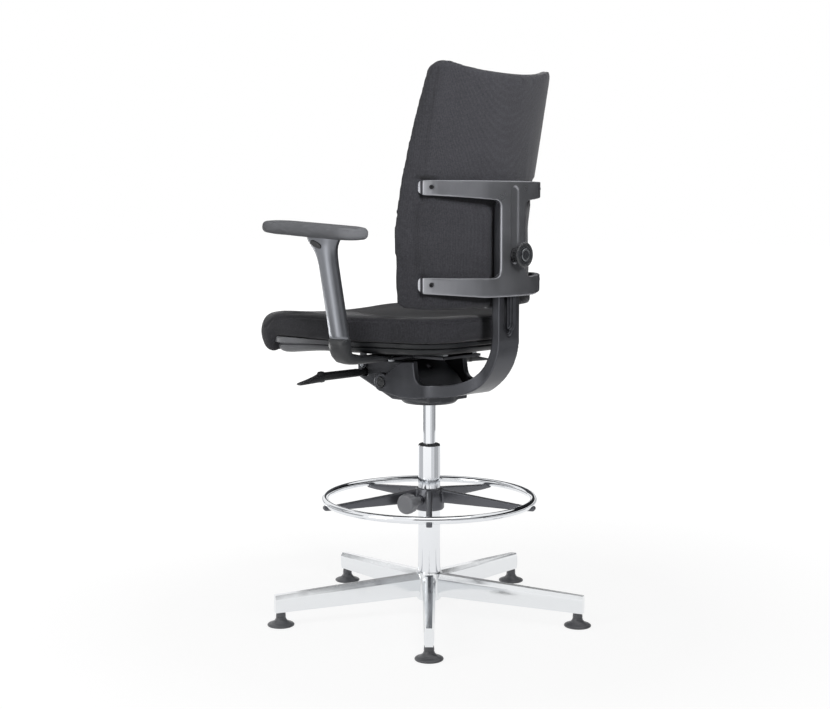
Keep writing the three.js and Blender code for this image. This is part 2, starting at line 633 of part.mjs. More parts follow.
function backFork() {
  const half = FORK_WIDTH / 2;
  const blank = overlap(
    solid(slab(forkSide(), 'x', -half - 1, half + 1, 0, 6)),
    solid(slab(forkPlan(), 'z', 0, SPINE_TOP + 1, 0, 6)),
  );
  const opening = solid(slab(forkOpening(), 'z', -1, 200, 0, 5));
  const pin = solid(bar('x', -half - 2, half + 2, PIN_RADIUS + FIT, PIVOT_Y, PIVOT_Z));
  const recess = PIVOT_CAP_RADIUS + FIT;
  const cap = solid(bar('x', half - CAP_DEPTH, half + 2, recess, PIVOT_Y, PIVOT_Z, 20));
  const slotHeight = SLOT_TOP - SLOT_BOTTOM;
  const slotMiddle = (SLOT_TOP + SLOT_BOTTOM) / 2;
  const slot = roundedRect(0, slotMiddle, SLOT_WIDTH, slotHeight, SLOT_WIDTH / 2 - 0.01);
  const grow = TRACK_WIDTH - SLOT_WIDTH;
  const track = roundedRect(0, slotMiddle, TRACK_WIDTH, slotHeight + grow, TRACK_WIDTH / 2 - 0.01);
  return cut(
    blank, opening, pin, cap, handed(cap, -1),
    solid(slab(slot, 'y', SPINE_FRONT - 5, SPINE_REAR + 5, 0, 3)),
    solid(slab(track, 'y', SPINE_REAR - TRACK_DEPTH, SPINE_REAR + 5, 0, 3)),
  );
}
piece(chassis, 'back_fork', backFork(), graphite);

for (const [name, side] of [['left', 1], ['right', -1]]) {
  const inner = side * (FORK_WIDTH / 2 - CAP_DEPTH + FIT);
  const outer = side * (FORK_WIDTH / 2 + 2);
  piece(chassis, `pivot_cap_${name}`, bar(
    'x', Math.min(inner, outer), Math.max(inner, outer), PIVOT_CAP_RADIUS, PIVOT_Y, PIVOT_Z, 20,
  ), darkPlastic);
}

// ---------------------------------------------------------------- seat carrier
const lugInner = HALF_HOUSING + RUN;
const lugOuter = lugInner + LUG_THICKNESS;
const frontPinEnd = lugOuter + 3;
const bracketBolts = [WING_FRONT + 22, WING_REAR - 22];
const BOLT_X = WING_WIDTH / 2 - 17;
const BOLT_SHANK = 4;
const BOLT_REACH = 3.5; // bolt into the lap of the bracket

function seatCarrier() {
  const wing = WING_WIDTH / 2;
  const plate = polygon([
    [-lugOuter, CARRIER_FRONT], [lugOuter, CARRIER_FRONT], [lugOuter, WING_FRONT], [wing, WING_FRONT],
    [wing, WING_REAR], [lugOuter, WING_REAR], [lugOuter - 8, CARRIER_REAR], [8 - lugOuter, CARRIER_REAR],
    [-lugOuter, WING_REAR], [-wing, WING_REAR], [-wing, WING_FRONT], [-lugOuter, WING_FRONT],
  ]);
  let body = solid(slab(plate, 'z', CARRIER_BOTTOM, CARRIER_TOP));
  for (const side of [-1, 1]) {
    const lug = new THREE.Shape();
    lug.moveTo(FRONT_PIN_Y + LUG_RADIUS, CARRIER_BOTTOM + 1);
    lug.lineTo(FRONT_PIN_Y - LUG_RADIUS, CARRIER_BOTTOM + 1);
    lug.absarc(FRONT_PIN_Y, FRONT_PIN_Z, LUG_RADIUS, Math.PI, 2 * Math.PI);
    const [a, b] = [side * lugInner, side * lugOuter].sort((p, q) => p - q);
    body = join(body, solid(slab(lug, 'x', a, b)));
    for (const y of bracketBolts) {
      body = cut(body, solid(bar(
        'z', CARRIER_BOTTOM - 5, CARRIER_TOP + 5, BOLT_SHANK + FIT, side * BOLT_X, y, 12,
      )));
    }
  }
  const pin = bar('x', -wing, wing, FRONT_PIN_RADIUS + FIT, FRONT_PIN_Y, FRONT_PIN_Z, 14);
  const [halfWindow, windowRear] = [SPRING_RADIUS + 9, SPRING_REAR + 9];
  const window = block(
    -halfWindow, halfWindow, SPRING_FRONT + 12, windowRear, CARRIER_BOTTOM - 1, CARRIER_TOP + 1,
  );
  return cut(body, solid(pin), solid(window));
}
piece(chassis, 'seat_carrier', seatCarrier(), castBlack);
piece(chassis, 'seat_front_pin', bar(
  'x', -frontPinEnd, frontPinEnd, FRONT_PIN_RADIUS, FRONT_PIN_Y, FRONT_PIN_Z, 14,
), steel);

for (const [name, side] of [['left', 1], ['right', -1]]) {
  const middle = side * RAIL_SPACING / 2;
  piece(chassis, `slide_rail_${name}`, block(
    middle - RAIL_WIDTH / 2, middle + RAIL_WIDTH / 2, CARRIER_FRONT + 14, CARRIER_REAR - 4,
    CARRIER_TOP + FIT, CARRIER_TOP + FIT + RAIL_HEIGHT,
  ), steel);
}

// ---------------------------------------------------------------- seat
// Seat outline in plan, moved in by an inset, with its front edge at a chosen place.
function seatOutline(inset, front = SEAT_FRONT + inset) {
  const wide = SEAT_WIDTH / 2 - inset;
  const narrow = SEAT_REAR_WIDTH / 2 - inset;
  const rear = SEAT_REAR - inset;
  const [frontCorner, rearCorner] = [SEAT_FRONT_CORNER - inset, SEAT_REAR_CORNER - inset];
  const waist = lerp(SEAT_FRONT, SEAT_REAR, SEAT_SHARE_WIDE);
  const shape = new THREE.Shape();
  shape.moveTo(frontCorner - wide, front);
  shape.absarc(wide - frontCorner, front + frontCorner, frontCorner, -Math.PI / 2, 0);
  shape.lineTo(wide, waist);
  shape.quadraticCurveTo(wide, (waist + rear) / 2 - rearCorner / 2, narrow, rear - rearCorner);
  shape.absarc(narrow - rearCorner, rear - rearCorner, rearCorner, 0, Math.PI / 2);
  shape.absarc(rearCorner - narrow, rear - rearCorner, rearCorner, Math.PI / 2, Math.PI);
  shape.quadraticCurveTo(-wide, (waist + rear) / 2 - rearCorner / 2, -wide, waist);
  shape.absarc(frontCorner - wide, front + frontCorner, frontCorner, Math.PI, 1.5 * Math.PI);
  return shape;
}

const PAN_FRONT = SEAT_FRONT + PAN_SETBACK;
const PAN_TOP = PAN_BOTTOM + PAN_HEIGHT;
function seatPan() {
  const shell = solid(slab(seatOutline(CUSHION_OVERHANG, PAN_FRONT), 'z', PAN_BOTTOM, PAN_TOP, 0, 4));
  const inset = CUSHION_OVERHANG + PAN_WALL;
  const plan = seatOutline(inset, PAN_FRONT + PAN_WALL);
  return cut(shell, solid(slab(plan, 'z', PAN_BOTTOM + PAN_FLOOR, PAN_TOP + 5, 0, 4)));
}
piece(chassis, 'seat_pan', seatPan(), panPlastic);

// Joins outlines with equal numbers of points, each at its own height, into one closed skin.
function loft(outlines, heights) {
  const rings = outlines.map((shape) => shape.getPoints(4));
  const points = rings.flatMap((ring, k) => ring.flatMap((p) => [p.x, p.y, heights[k]]));
  const count = rings[0].length;
  const index = [];
  for (let k = 0; k + 1 < rings.length; k += 1) {
    for (let i = 0; i < count; i += 1) {
      const [a, b] = [k * count + i, k * count + ((i + 1) % count)];
      index.push(a, b, b + count, a, b + count, a + count);
    }
  }
  const last = (rings.length - 1) * count;
  THREE.ShapeUtils.triangulateShape(rings[0], []).forEach(([a, b, c]) => index.push(c, b, a));
  THREE.ShapeUtils.triangulateShape(rings.at(-1), [])
    .forEach(([a, b, c]) => index.push(last + a, last + b, last + c));
  const geometry = new THREE.BufferGeometry();
  geometry.setAttribute('position', new THREE.Float32BufferAttribute(points, 3));
  geometry.setIndex(index);
  return geometry;
}

function seatCushion() {
  const bottom = PAN_BOTTOM + NOSE_LIFT;
  // Share of the thickness, and how far the side and the front edge are rolled in there.
  const rolled = [
    [0, CUSHION_ROLL, NOSE_ROLL], [0.12, CUSHION_ROLL / 2, NOSE_ROLL * 0.4], [0.27, 1, 3], [0.46, 0, 0],
    [0.65, 0.5, 3], [0.8, CUSHION_ROLL / 5, NOSE_ROLL * 0.4], [0.91, CUSHION_ROLL * 0.8, NOSE_ROLL],
    [1, CUSHION_ROLL * 2.5, WATERFALL],
  ];
  const body = solid(loft(
    rolled.map(([, side, front]) => seatOutline(side, SEAT_FRONT + front)),
    rolled.map(([share]) => bottom + share * CUSHION_THICKNESS),
  ));
  const [wide, rear, high] = [SEAT_WIDTH, SEAT_REAR + 5, bottom + CUSHION_THICKNESS + 5];
  const inset = CUSHION_OVERHANG + PAN_WALL + FIT;
  return join(
    overlap(body, solid(block(-wide, wide, SEAT_FRONT - 5, rear, PAN_TOP + FIT, high))),
    overlap(body, solid(block(-wide, wide, SEAT_FRONT - 5, PAN_FRONT - FIT, 0, high))),
    solid(slab(seatOutline(inset, PAN_FRONT + PAN_WALL + FIT), 'z', CUSHION_BOTTOM, PAN_TOP + 5, 0, 4)),
  );
}
piece(chassis, 'seat_cushion', seatCushion(), fabric);

// ---------------------------------------------------------------- armrests
const lean = rad(ARM_LEAN);
// Puts a geometry drawn about the Z axis on the leaning axis of the left post.
const onPost = (geometry) => geometry.rotateX(lean).translate(ARM_OFFSET, ARM_Y, POST_FOOT);
// The space above the tilted underside of the pad.
function padSpace(gap) {
  const above = block(-PAD_WIDTH, PAD_WIDTH, -PAD_LENGTH, PAD_LENGTH, -gap, POST_LENGTH);
  return solid(above.rotateX(rad(-PAD_TILT)).translate(ARM_OFFSET, PAD_Y, PAD_HEIGHT));
}
const oval = (width, height, gap = 0) =>
  roundedRect(0, 0, width + 2 * gap, height + 2 * gap, Math.min(width, height) / 2 + gap - 0.01);

// The bracket bends up out of the carrier's level; its root laps over the wing.
const bracketBottom = CARRIER_BOTTOM - BRACKET_DROP;
const bracketTop = bracketBottom + BRACKET_THICKNESS;
// Plan of the bracket with its outer corners cut off.
function chamferedSquare(outer, depth) {
  const corner = 6;
  return polygon([
    [0, ARM_Y - depth], [outer - corner, ARM_Y - depth], [outer, ARM_Y - depth + corner],
    [outer, ARM_Y + depth - corner], [outer - corner, ARM_Y + depth], [0, ARM_Y + depth],
  ]);
}
function armBracket() {
  const outer = ARM_OFFSET + BRACKET_THICKNESS / 2;
  const inner = outer - BRACKET_THICKNESS;
  const bend = ELBOW_RADIUS - BRACKET_THICKNESS;
  const root = WING_WIDTH / 2 - LAP_LENGTH;
  const elbow = new THREE.Shape();
  elbow.moveTo(root, CARRIER_TOP + FIT);
  elbow.lineTo(WING_WIDTH / 2 + FIT, CARRIER_TOP + FIT);
  elbow.lineTo(WING_WIDTH / 2 + FIT, bracketBottom);
  elbow.absarc(outer - ELBOW_RADIUS, bracketBottom + ELBOW_RADIUS, ELBOW_RADIUS, -Math.PI / 2, 0);
  elbow.lineTo(outer, POST_FOOT - FIT);
  elbow.lineTo(inner, POST_FOOT - FIT);
  elbow.absarc(inner - bend, bracketTop + bend, bend, 0, -Math.PI / 2, true);
  elbow.lineTo(root, bracketTop);
  const depth = BRACKET_DEPTH / 2;
  const body = overlap(
    solid(slab(elbow, 'y', ARM_Y - depth, ARM_Y + depth, 0, 3)),
    solid(slab(chamferedSquare(outer, depth), 'z', 0, PAST)),
  );
  const reach = POST_WALL + FIT;
  const tongueShape = oval(POST_THICKNESS - 2 * reach, POST_DEPTH - 2 * reach);
  const tongue = overlap(
    solid(onPost(slab(tongueShape, 'z', -12, TONGUE_LENGTH, 0, 2))),
    solid(block(0, PAST, -PAST, PAST, POST_FOOT - 6, PAST)),
  );
  const holes = bracketBolts.map((y) => solid(
    bar('z', bracketBottom, CARRIER_TOP + BOLT_REACH + FIT, BOLT_SHANK + FIT, BOLT_X, y, 12),
  ));
  return cut(join(body, tongue), ...holes);
}

function postButton(gap, from, to) {
  return solid(slab(oval(BUTTON_LENGTH, BUTTON_HEIGHT, gap), 'x', from, to, 0, 2)
    .translate(0, BUTTON_Y, BUTTON_Z));
}

const postSide = ARM_OFFSET + FLARE_WIDTH / 2 - 4; // outer face of the post at the button
function armSleeve() {
  const section = oval(POST_THICKNESS, POST_DEPTH);
  const outer = new THREE.ExtrudeGeometry(section, {
    depth: POST_LENGTH + 30, steps: 11, bevelEnabled: false, curveSegments: 2,
  }).translate(0, 0, -12);
  warp(outer, (v) => {
    const flare = ease(v.z, POST_LENGTH - FLARE_HEIGHT - 10, POST_LENGTH) ** 2;
    const swell = ease(v.z, 90, POST_LENGTH);
    const depth = lerp(POST_DEPTH + 8 * swell, FLARE_LENGTH, flare);
    const width = lerp(POST_THICKNESS + 3 * swell, FLARE_WIDTH, flare);
    v.set(v.x * width / POST_THICKNESS, v.y * depth / POST_DEPTH, v.z);
  });
  const hollow = oval(POST_THICKNESS - 2 * POST_WALL, POST_DEPTH - 2 * POST_WALL);
  const body = cut(
    solid(onPost(outer)),
    solid(onPost(slab(hollow, 'z', -30, TONGUE_LENGTH + 6, 0, 2))),
    solid(block(0, PAST, -PAST, PAST, 0, POST_FOOT)),
    padSpace(FIT),
  );
  return cut(body, postButton(FIT, postSide - 9, postSide + 20));
}

function armPad() {
  const outline = roundedRect(0, 0, PAD_WIDTH, PAD_LENGTH, PAD_WIDTH * 0.42);
  return slab(outline, 'z', 0, PAD_THICKNESS, 6, 3).rotateX(rad(-PAD_TILT))
    .translate(ARM_OFFSET, PAD_Y, PAD_HEIGHT);
}

const BOLT_HEAD = 5;
function bracketBolt(y) {
  return join(
    solid(bar('z', CARRIER_BOTTOM - BOLT_HEAD, CARRIER_BOTTOM - FIT, 7, BOLT_X, y, 12)),
    solid(bar('z', CARRIER_BOTTOM - 1, CARRIER_TOP + BOLT_REACH, BOLT_SHANK, BOLT_X, y, 12)),
  );
}
for (const [name, side] of [['left', 1], ['right', -1]]) {
  piece(chassis, `arm_bracket_${name}`, handed(armBracket(), side), darkPlastic);
  piece(chassis, `arm_sleeve_${name}`, handed(armSleeve(), side), armMetal);
  piece(chassis, `arm_pad_${name}`, handed(solid(armPad()), side), softPad);
  const button = postButton(0, postSide - 9 + BUTTON_TRAVEL + RUN, postSide);
  piece(chassis, `arm_button_${name}`, handed(button, side), darkPlastic);
  bracketBolts.forEach((y, i) => {
    piece(chassis, `bracket_bolt_${name}_${i + 1}`, handed(bracketBolt(y), side), steel);
  });
}

// ---------------------------------------------------------------- levers
const shaftEnd = KNUCKLE_X + 15 + LEVER_SHAFT_LENGTH;
function leverShaft() {
  const half = KNUCKLE_LENGTH / 2;
  const knuckle = solid(bar('y', -half, half, KNUCKLE_RADIUS, KNUCKLE_X, 0, 16));
  const neck = solid(block(KNUCKLE_X, KNUCKLE_X + 17, -6, 6, -3.5, 3.5));
  const section = roundedRect(0, 0, LEVER_SHAFT_DEPTH, LEVER_SHAFT_HEIGHT, 3);
  const shaft = solid(slab(section, 'x', KNUCKLE_X + 15, shaftEnd, 0, 2));
  const eye = solid(bar('y', -20, 20, LEVER_PIN_RADIUS + FIT, KNUCKLE_X, 0, 10));
  return cut(join(knuckle, neck, shaft), eye);
}
function leverPaddle() {
  const [root, half] = [LEVER_SHAFT_DEPTH / 2 + 1.5, LEVER_SHAFT_HEIGHT / 2 + 1];
  const plan = new THREE.Shape();
  plan.moveTo(0, -root);
  plan.lineTo(LEVER_PADDLE_LENGTH - 12, -root + 3);
  plan.absarc(LEVER_PADDLE_LENGTH - 9, 0, 9, rad(-70), rad(70));
  plan.lineTo(0, root);
  const side = polygon([
    [0, -half], [9, -half], [LEVER_PADDLE_LENGTH, -1.5], [LEVER_PADDLE_LENGTH, 1.5], [9, half - 1.5],
    [7, half], [0, half],
  ]);
  const body = overlap(
    solid(slab(plan, 'z', -10, 10, 0, 3)),
    solid(slab(side, 'y', -20, 20)),
  );
  return body.rotate([0, LEVER_DROOP, 0]).translate([shaftEnd + RUN, 0, 0]);
}
for (const { side, name, y, z } of levers) {
  const place = (body) => handed(body, side).translate([0, y, z]);
  piece(chassis, `${name}_lever`, place(leverShaft()), graphite);
  piece(chassis, `${name}_lever_paddle`, place(leverPaddle()), darkPlastic);
  const half = LEVER_PIN_LENGTH / 2;
  const pin = bar('y', y - half, y + half, LEVER_PIN_RADIUS, side * KNUCKLE_X, z, 10);
  piece(chassis, `${name}_lever_pin`, pin, steel);
}

// ---------------------------------------------------------------- back carrier
// The arms follow half an ellipse in plan, open to the front.
const armSize = (grow) => [CARRIER_ARM_SPAN + grow, CARRIER_ARM_DEPTH + grow];
const armOuter = armSize(CARRIER_ARM_THICKNESS / 2);
const armInner = armSize(-CARRIER_ARM_THICKNESS / 2);
const TIP_START = 12.5; // degrees of the ellipse left off at each tip
const SCREW_TURN = 26; // degrees of the ellipse from the tip's end of the quarter to the screw
const ARM_SCREW_RADIUS = 2.5;
const GROOVE_RADIUS = 9; // of the groove down the column to the knob
const screwHeights = [LOWER_ARM_BOTTOM + ARM_ROOT_HEIGHT / 2 + 8, UPPER_ARM_TOP - ARM_ROOT_HEIGHT / 2 + 6];

// A bar square to the arm at its screw, from one distance to another along the outward normal.
function screwBar(side, z, from, to, radius, segments = 8) {
  const turn = rad(SCREW_TURN);
  const [a, b] = armOuter;
  const foot = new THREE.Vector3(a * Math.cos(turn), ARM_CENTRE_Y + b * Math.sin(turn), z);
  const normal = new THREE.Vector3(Math.cos(turn) / a, Math.sin(turn) / b, 0).normalize();
  const middle = foot.clone().addScaledVector(normal, (from + to) / 2);
  const geometry = new THREE.CylinderGeometry(radius, radius, to - from, segments);
  geometry.applyQuaternion(new THREE.Quaternion().setFromUnitVectors(new THREE.Vector3(0, 1, 0), normal));
  return handed(solid(geometry.translate(middle.x, middle.y, middle.z)), side);
}

function backCarrier() {
  const plan = new THREE.Shape();
  const [start, end] = [rad(TIP_START), Math.PI - rad(TIP_START)];
  plan.absellipse(0, ARM_CENTRE_Y, ...armOuter, start, end, false, 0);
  plan.absellipse(0, ARM_CENTRE_Y, ...armInner, end, start, true, 0);
  const band = solid(slab(plan, 'z', LOWER_ARM_BOTTOM, UPPER_ARM_TOP, 0, 17));

  // Seen from behind: two arms, a column between them, and round corners in the two windows.
  const span = CARRIER_ARM_SPAN + 20;
  const edge = COLUMN_WIDTH / 2;
  const lift = ARM_ROOT_HEIGHT - ARM_TIP_HEIGHT;
  const [low, high] = [LOWER_ARM_BOTTOM + ARM_ROOT_HEIGHT, UPPER_ARM_TOP - ARM_ROOT_HEIGHT];
  const r = ARM_FILLET;
  const window = new THREE.Shape();
  window.moveTo(span, low + 3);
  window.lineTo(span, high + lift);
  window.lineTo(edge + r, high);
  window.quadraticCurveTo(edge, high, edge, high - r);
  window.lineTo(edge, low + r);
  window.quadraticCurveTo(edge, low, edge + r, low);
  const windowCut = solid(slab(window, 'y', 0, PAST, 0, 5));
  const skirt = solid(slab(polygon([
    [edge + 30, LOWER_ARM_BOTTOM - 1], [span, LOWER_ARM_BOTTOM - 1], [span, LOWER_ARM_BOTTOM + lift],
  ]), 'y', 0, PAST));

  const grooveTop = UPPER_ARM_TOP - 12;
  const grooveLength = grooveTop - BACK_KNOB_Z;
  const groove = roundedRect(
    0, grooveTop - grooveLength / 2, 2 * GROOVE_RADIUS, grooveLength, GROOVE_RADIUS - 0.1,
  );
  const halfSpine = SPINE_WIDTH / 2 + RUN;
  const spineRoom = block(
    -halfSpine, halfSpine, SPINE_FRONT, COLUMN_FRONT, LOWER_ARM_BOTTOM - 1, UPPER_ARM_TOP + 1,
  );
  const bolt = bar('y', SPINE_REAR, COLUMN_REAR + 5, BOLT_RADIUS + FIT, 0, BACK_KNOB_Z, 14);
  const holes = [-1, 1].flatMap((side) => screwHeights.map(
    (z) => screwBar(side, z, -20, 5, ARM_SCREW_RADIUS + FIT),
  ));
  return cut(
    band, windowCut, handed(windowCut, -1), skirt, handed(skirt, -1),
    solid(slab(groove, 'y', COLUMN_REAR - 2.5, COLUMN_REAR + 5, 0, 3)),
    solid(spineRoom), solid(bolt), ...holes,
  );
}
piece(chassis, 'back_carrier', backCarrier(), graphite);

// The clamp: a nut plate in front of the spine, a bolt through the slot and the knob behind.
const NUT_THICKNESS = 5;
const nutFront = SPINE_FRONT - FIT - NUT_THICKNESS;
const knobFace = COLUMN_REAR + FIT;
const backward = (geometry) => geometry.rotateX(-Math.PI / 2).translate(0, 0, BACK_KNOB_Z);
piece(chassis, 'back_clamp_nut', cut(
  solid(block(-12, 12, nutFront, nutFront + NUT_THICKNESS, BACK_KNOB_Z - 16, BACK_KNOB_Z + 16)),
  solid(bar('y', 0, PAST, BOLT_RADIUS + FIT, 0, BACK_KNOB_Z, 12)),
), steel);
piece(chassis, 'back_clamp_bolt', bar(
  'y', nutFront + 1, BACK_KNOB_REACH - 8, BOLT_RADIUS, 0, BACK_KNOB_Z, 12,
), steel);
piece(chassis, 'back_knob', backward(turned([
  [BOLT_RADIUS + FIT, knobFace], [14, knobFace], [13, BACK_KNOB_REACH - 8],
  [BACK_KNOB_RADIUS - 2, BACK_KNOB_REACH - 8],
  [BACK_KNOB_RADIUS, BACK_KNOB_REACH - 5], [BACK_KNOB_RADIUS - 3, BACK_KNOB_REACH - 1],
  [14, BACK_KNOB_REACH - 2], [13, BACK_KNOB_REACH], [0, BACK_KNOB_REACH], [0, BACK_KNOB_REACH - 7],
  [BOLT_RADIUS + FIT, BACK_KNOB_REACH - 7], [BOLT_RADIUS + FIT, knobFace],
], 24)), darkPlastic);

// ---------------------------------------------------------------- backrest
// Half the width of the backrest at a height.
function backHalf(z) {
  const t = (z - BACK_LUMBAR_Z) / (BACK_TOP - BACK_LUMBAR_Z);
  return lerp(BACK_WIDTH, BACK_TOP_WIDTH, Math.max(t, 0) ** 1.6) / 2 - Math.max(-t, 0) * 12;
}
// Middle of the side edge, front to back, at a height.
function backEdge(z) {
  if (z < BACK_LUMBAR_Z) {
    const t = (BACK_LUMBAR_Z - z) / (BACK_LUMBAR_Z - BACK_BOTTOM);
    return BACK_LUMBAR_Y + BACK_BOTTOM_SETBACK * t * t;
  }
  const t = (z - BACK_LUMBAR_Z) / (BACK_TOP - BACK_LUMBAR_Z);
  return BACK_LUMBAR_Y + BACK_TOP_SETBACK * t ** 1.3;
}
// A point of the backrest at a height: u runs from -1 to 1 across, and share from 0 on the front face to
// 1 on the rear face. The front face is a shallow hollow; the rear face is a deep, narrower bow.
function backPoint(u, z, share) {
  const t = Math.max((z - BACK_LUMBAR_Z) / (BACK_TOP - BACK_LUMBAR_Z), 0);
  // Below the lumbar the middle of the rear face stays upright.
  const tuck = z < BACK_LUMBAR_Z ? backEdge(z) - BACK_LUMBAR_Y : 0;
  const rearWrap = lerp(BACK_REAR_WRAP, BACK_REAR_WRAP_TOP, t) - tuck;
  const rear = BACK_RIM / 2 + rearWrap * Math.max(1 - u * u, 0) ** BACK_BOW;
  const front = -BACK_RIM / 2 + BACK_FRONT_WRAP * lerp(1, 0.6, t) * (1 - u * u);
  const taper = lerp(BACK_RIM_TAPER, BACK_RIM_TAPER_TOP, Math.min(t, 1));
  return [u * (backHalf(z) - taper * share), backEdge(z) + lerp(front, rear, share)];
}
function backOutline() {
  const shape = new THREE.Shape();
  const r = BACK_CORNER;
  const [low, top] = [backHalf(BACK_BOTTOM), backHalf(BACK_TOP)];
  const sides = [
    BACK_BOTTOM + r, BACK_BOTTOM + 90, BACK_LUMBAR_Z, BACK_LUMBAR_Z + 90, BACK_LUMBAR_Z + 180,
    BACK_TOP - r,
  ];
  shape.moveTo(r - low, BACK_BOTTOM);
  shape.lineTo(low - r, BACK_BOTTOM);
  shape.quadraticCurveTo(low, BACK_BOTTOM, backHalf(sides[0]), sides[0]);
  sides.slice(1).forEach((z) => shape.lineTo(backHalf(z), z));
  shape.quadraticCurveTo(top, BACK_TOP, top - r, BACK_TOP - 5);
  shape.bezierCurveTo(
    top / 2, BACK_TOP - BACK_TOP_DIP, -top / 2, BACK_TOP - BACK_TOP_DIP, r - top, BACK_TOP - 5,
  );
  shape.quadraticCurveTo(-top, BACK_TOP, -backHalf(BACK_TOP - r), BACK_TOP - r);
  sides.slice(0, -1).reverse().forEach((z) => shape.lineTo(-backHalf(z), z));
  shape.quadraticCurveTo(-low, BACK_BOTTOM, r - low, BACK_BOTTOM);
  return shape;
}
// A layer of the backrest between two shares of its thickness, its rear face moved forward by a gap.
// A box splits its two faces along opposite diagonals, so neighbouring layers take the box opposite ways
// round: their touching faces then have the same facets.
function backLayer(frontShare, rearShare, gap, reversed = false) {
  const [columns, rows] = [12, 8];
  const grid = new THREE.BoxGeometry(2, 1, 1, columns, 1, rows);
  warp(grid, (v) => {
    const z = lerp(BACK_BOTTOM - 2, BACK_TOP + 2, v.z + 0.5);
    const atRear = (v.y > 0) !== reversed;
    const [x, y] = backPoint(Math.sin(v.x * Math.PI / 2), z, atRear ? rearShare : frontShare);
    v.set(x, atRear ? y - gap : y, z);
  });
  return overlap(solid(grid), solid(slab(backOutline(), 'y', 0, PAST, 0, 4)));
}
const panelStart = 1 - BACK_PANEL_SHARE;
// The space that the carrier arms take at the sides of the backrest, with a running gap.
function armRoom() {
  const [start, end] = [rad(TIP_START - 2), Math.PI - rad(TIP_START - 2)];
  const plan = new THREE.Shape();
  plan.absellipse(0, ARM_CENTRE_Y, armOuter[0] + 20, armOuter[1] + 20, start, end, false, 0);
  plan.absellipse(0, ARM_CENTRE_Y, armInner[0] - RUN, armInner[1] - RUN, end, start, true, 0);
  return join(
    solid(slab(plan, 'z', LOWER_ARM_BOTTOM - RUN, LOWER_ARM_BOTTOM + ARM_ROOT_HEIGHT + 3 + RUN, 0, 12)),
    solid(slab(plan, 'z', UPPER_ARM_TOP - ARM_ROOT_HEIGHT - RUN, UPPER_ARM_TOP + RUN, 0, 12)),
  );
}
const roomForArms = armRoom();
// Screw bosses of the panel: they stop short of the arms, and the cushion has a pocket for each.
const BOSS_GAP = CARRIER_ARM_THICKNESS + RUN;
const PANEL_BOSS_LENGTH = 14;
const PANEL_BOSS_RADIUS = 8;
function atScrews(from, to, radius, segments) {
  return join(...[-1, 1].flatMap((side) => screwHeights.map(
    (z) => screwBar(side, z, from, to, radius, segments),
  )));
}
function backPanel() {
  const skin = cut(backLayer(panelStart, 1, 0, true), roomForArms);
  const bosses = atScrews(-BOSS_GAP - PANEL_BOSS_LENGTH, -BOSS_GAP, PANEL_BOSS_RADIUS, 10);
  return cut(join(skin, bosses), atScrews(-60, 5, ARM_SCREW_RADIUS + FIT, 8));
}
function backCushion() {
  const pockets = atScrews(-BOSS_GAP - PANEL_BOSS_LENGTH - FIT, 5, PANEL_BOSS_RADIUS + FIT, 10);
  return cut(backLayer(0, panelStart, FIT), roomForArms, pockets);
}
piece(chassis, 'back_panel', backPanel(), fabric);
piece(chassis, 'back_cushion', backCushion(), fabric);

for (const [name, side] of [['left', 1], ['right', -1]]) {
  screwHeights.forEach((z, i) => {
    const screw = join(
      screwBar(side, z, FIT, 3, 4.5),
      screwBar(side, z, -CARRIER_ARM_THICKNESS - 6, 1, ARM_SCREW_RADIUS),
    );
    piece(chassis, `carrier_screw_${name}_${i + 1}`, screw, steel);
  });
}

export default chair;
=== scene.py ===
# %% [markdown]
# # A drafting chair with a foot ring
# The solid model gives every size and every place. This lesson puts the real surfaces round it: polished
# and plated metal, powder coat, moulded plastic and woven upholstery. All lengths are in metres.

# %% Load the solid model
import json
import math

import bmesh
import bpy
import numpy as np
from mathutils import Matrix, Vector

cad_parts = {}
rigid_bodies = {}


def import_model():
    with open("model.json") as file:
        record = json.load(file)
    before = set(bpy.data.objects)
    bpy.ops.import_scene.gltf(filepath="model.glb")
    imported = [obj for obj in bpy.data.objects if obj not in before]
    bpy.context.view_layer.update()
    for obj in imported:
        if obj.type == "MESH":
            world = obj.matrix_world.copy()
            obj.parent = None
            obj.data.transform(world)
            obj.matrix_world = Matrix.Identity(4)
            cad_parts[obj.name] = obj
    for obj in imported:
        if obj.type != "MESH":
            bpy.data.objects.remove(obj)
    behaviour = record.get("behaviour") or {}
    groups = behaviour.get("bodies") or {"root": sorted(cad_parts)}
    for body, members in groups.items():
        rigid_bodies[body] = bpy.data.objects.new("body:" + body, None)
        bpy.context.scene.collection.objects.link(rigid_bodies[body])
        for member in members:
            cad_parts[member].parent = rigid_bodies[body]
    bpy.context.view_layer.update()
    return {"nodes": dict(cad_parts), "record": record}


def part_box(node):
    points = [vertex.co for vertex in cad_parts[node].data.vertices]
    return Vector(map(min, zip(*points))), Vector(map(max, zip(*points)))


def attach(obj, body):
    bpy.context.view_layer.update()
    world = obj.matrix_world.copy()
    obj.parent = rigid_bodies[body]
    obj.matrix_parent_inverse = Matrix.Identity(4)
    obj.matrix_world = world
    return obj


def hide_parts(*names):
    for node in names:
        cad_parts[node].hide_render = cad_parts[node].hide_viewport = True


for leftover in list(bpy.data.objects):
    bpy.data.objects.remove(leftover, do_unlink=True)
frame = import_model()

# %% [markdown]
# ## Camera
# The chair is seen from behind its left side, a little above the seat, from about three metres away. That
# far off, the base and the backrest keep their true proportions. A shorter lens would swell the near leg.

# %% Camera
eye = bpy.data.cameras.new("studio_camera")
eye.lens = 61.83
eye.sensor_width = 36
camera = bpy.data.objects.new("studio_camera", eye)
camera.location = (2.3749, 2.1295, 0.913)
camera.rotation_euler = (math.radians(84.16), 0, math.radians(132.579))
bpy.context.scene.collection.objects.link(camera)
bpy.context.scene.camera = camera
bpy.context.scene.view_settings.view_transform = "Standard"
print("camera height", camera.location.z)

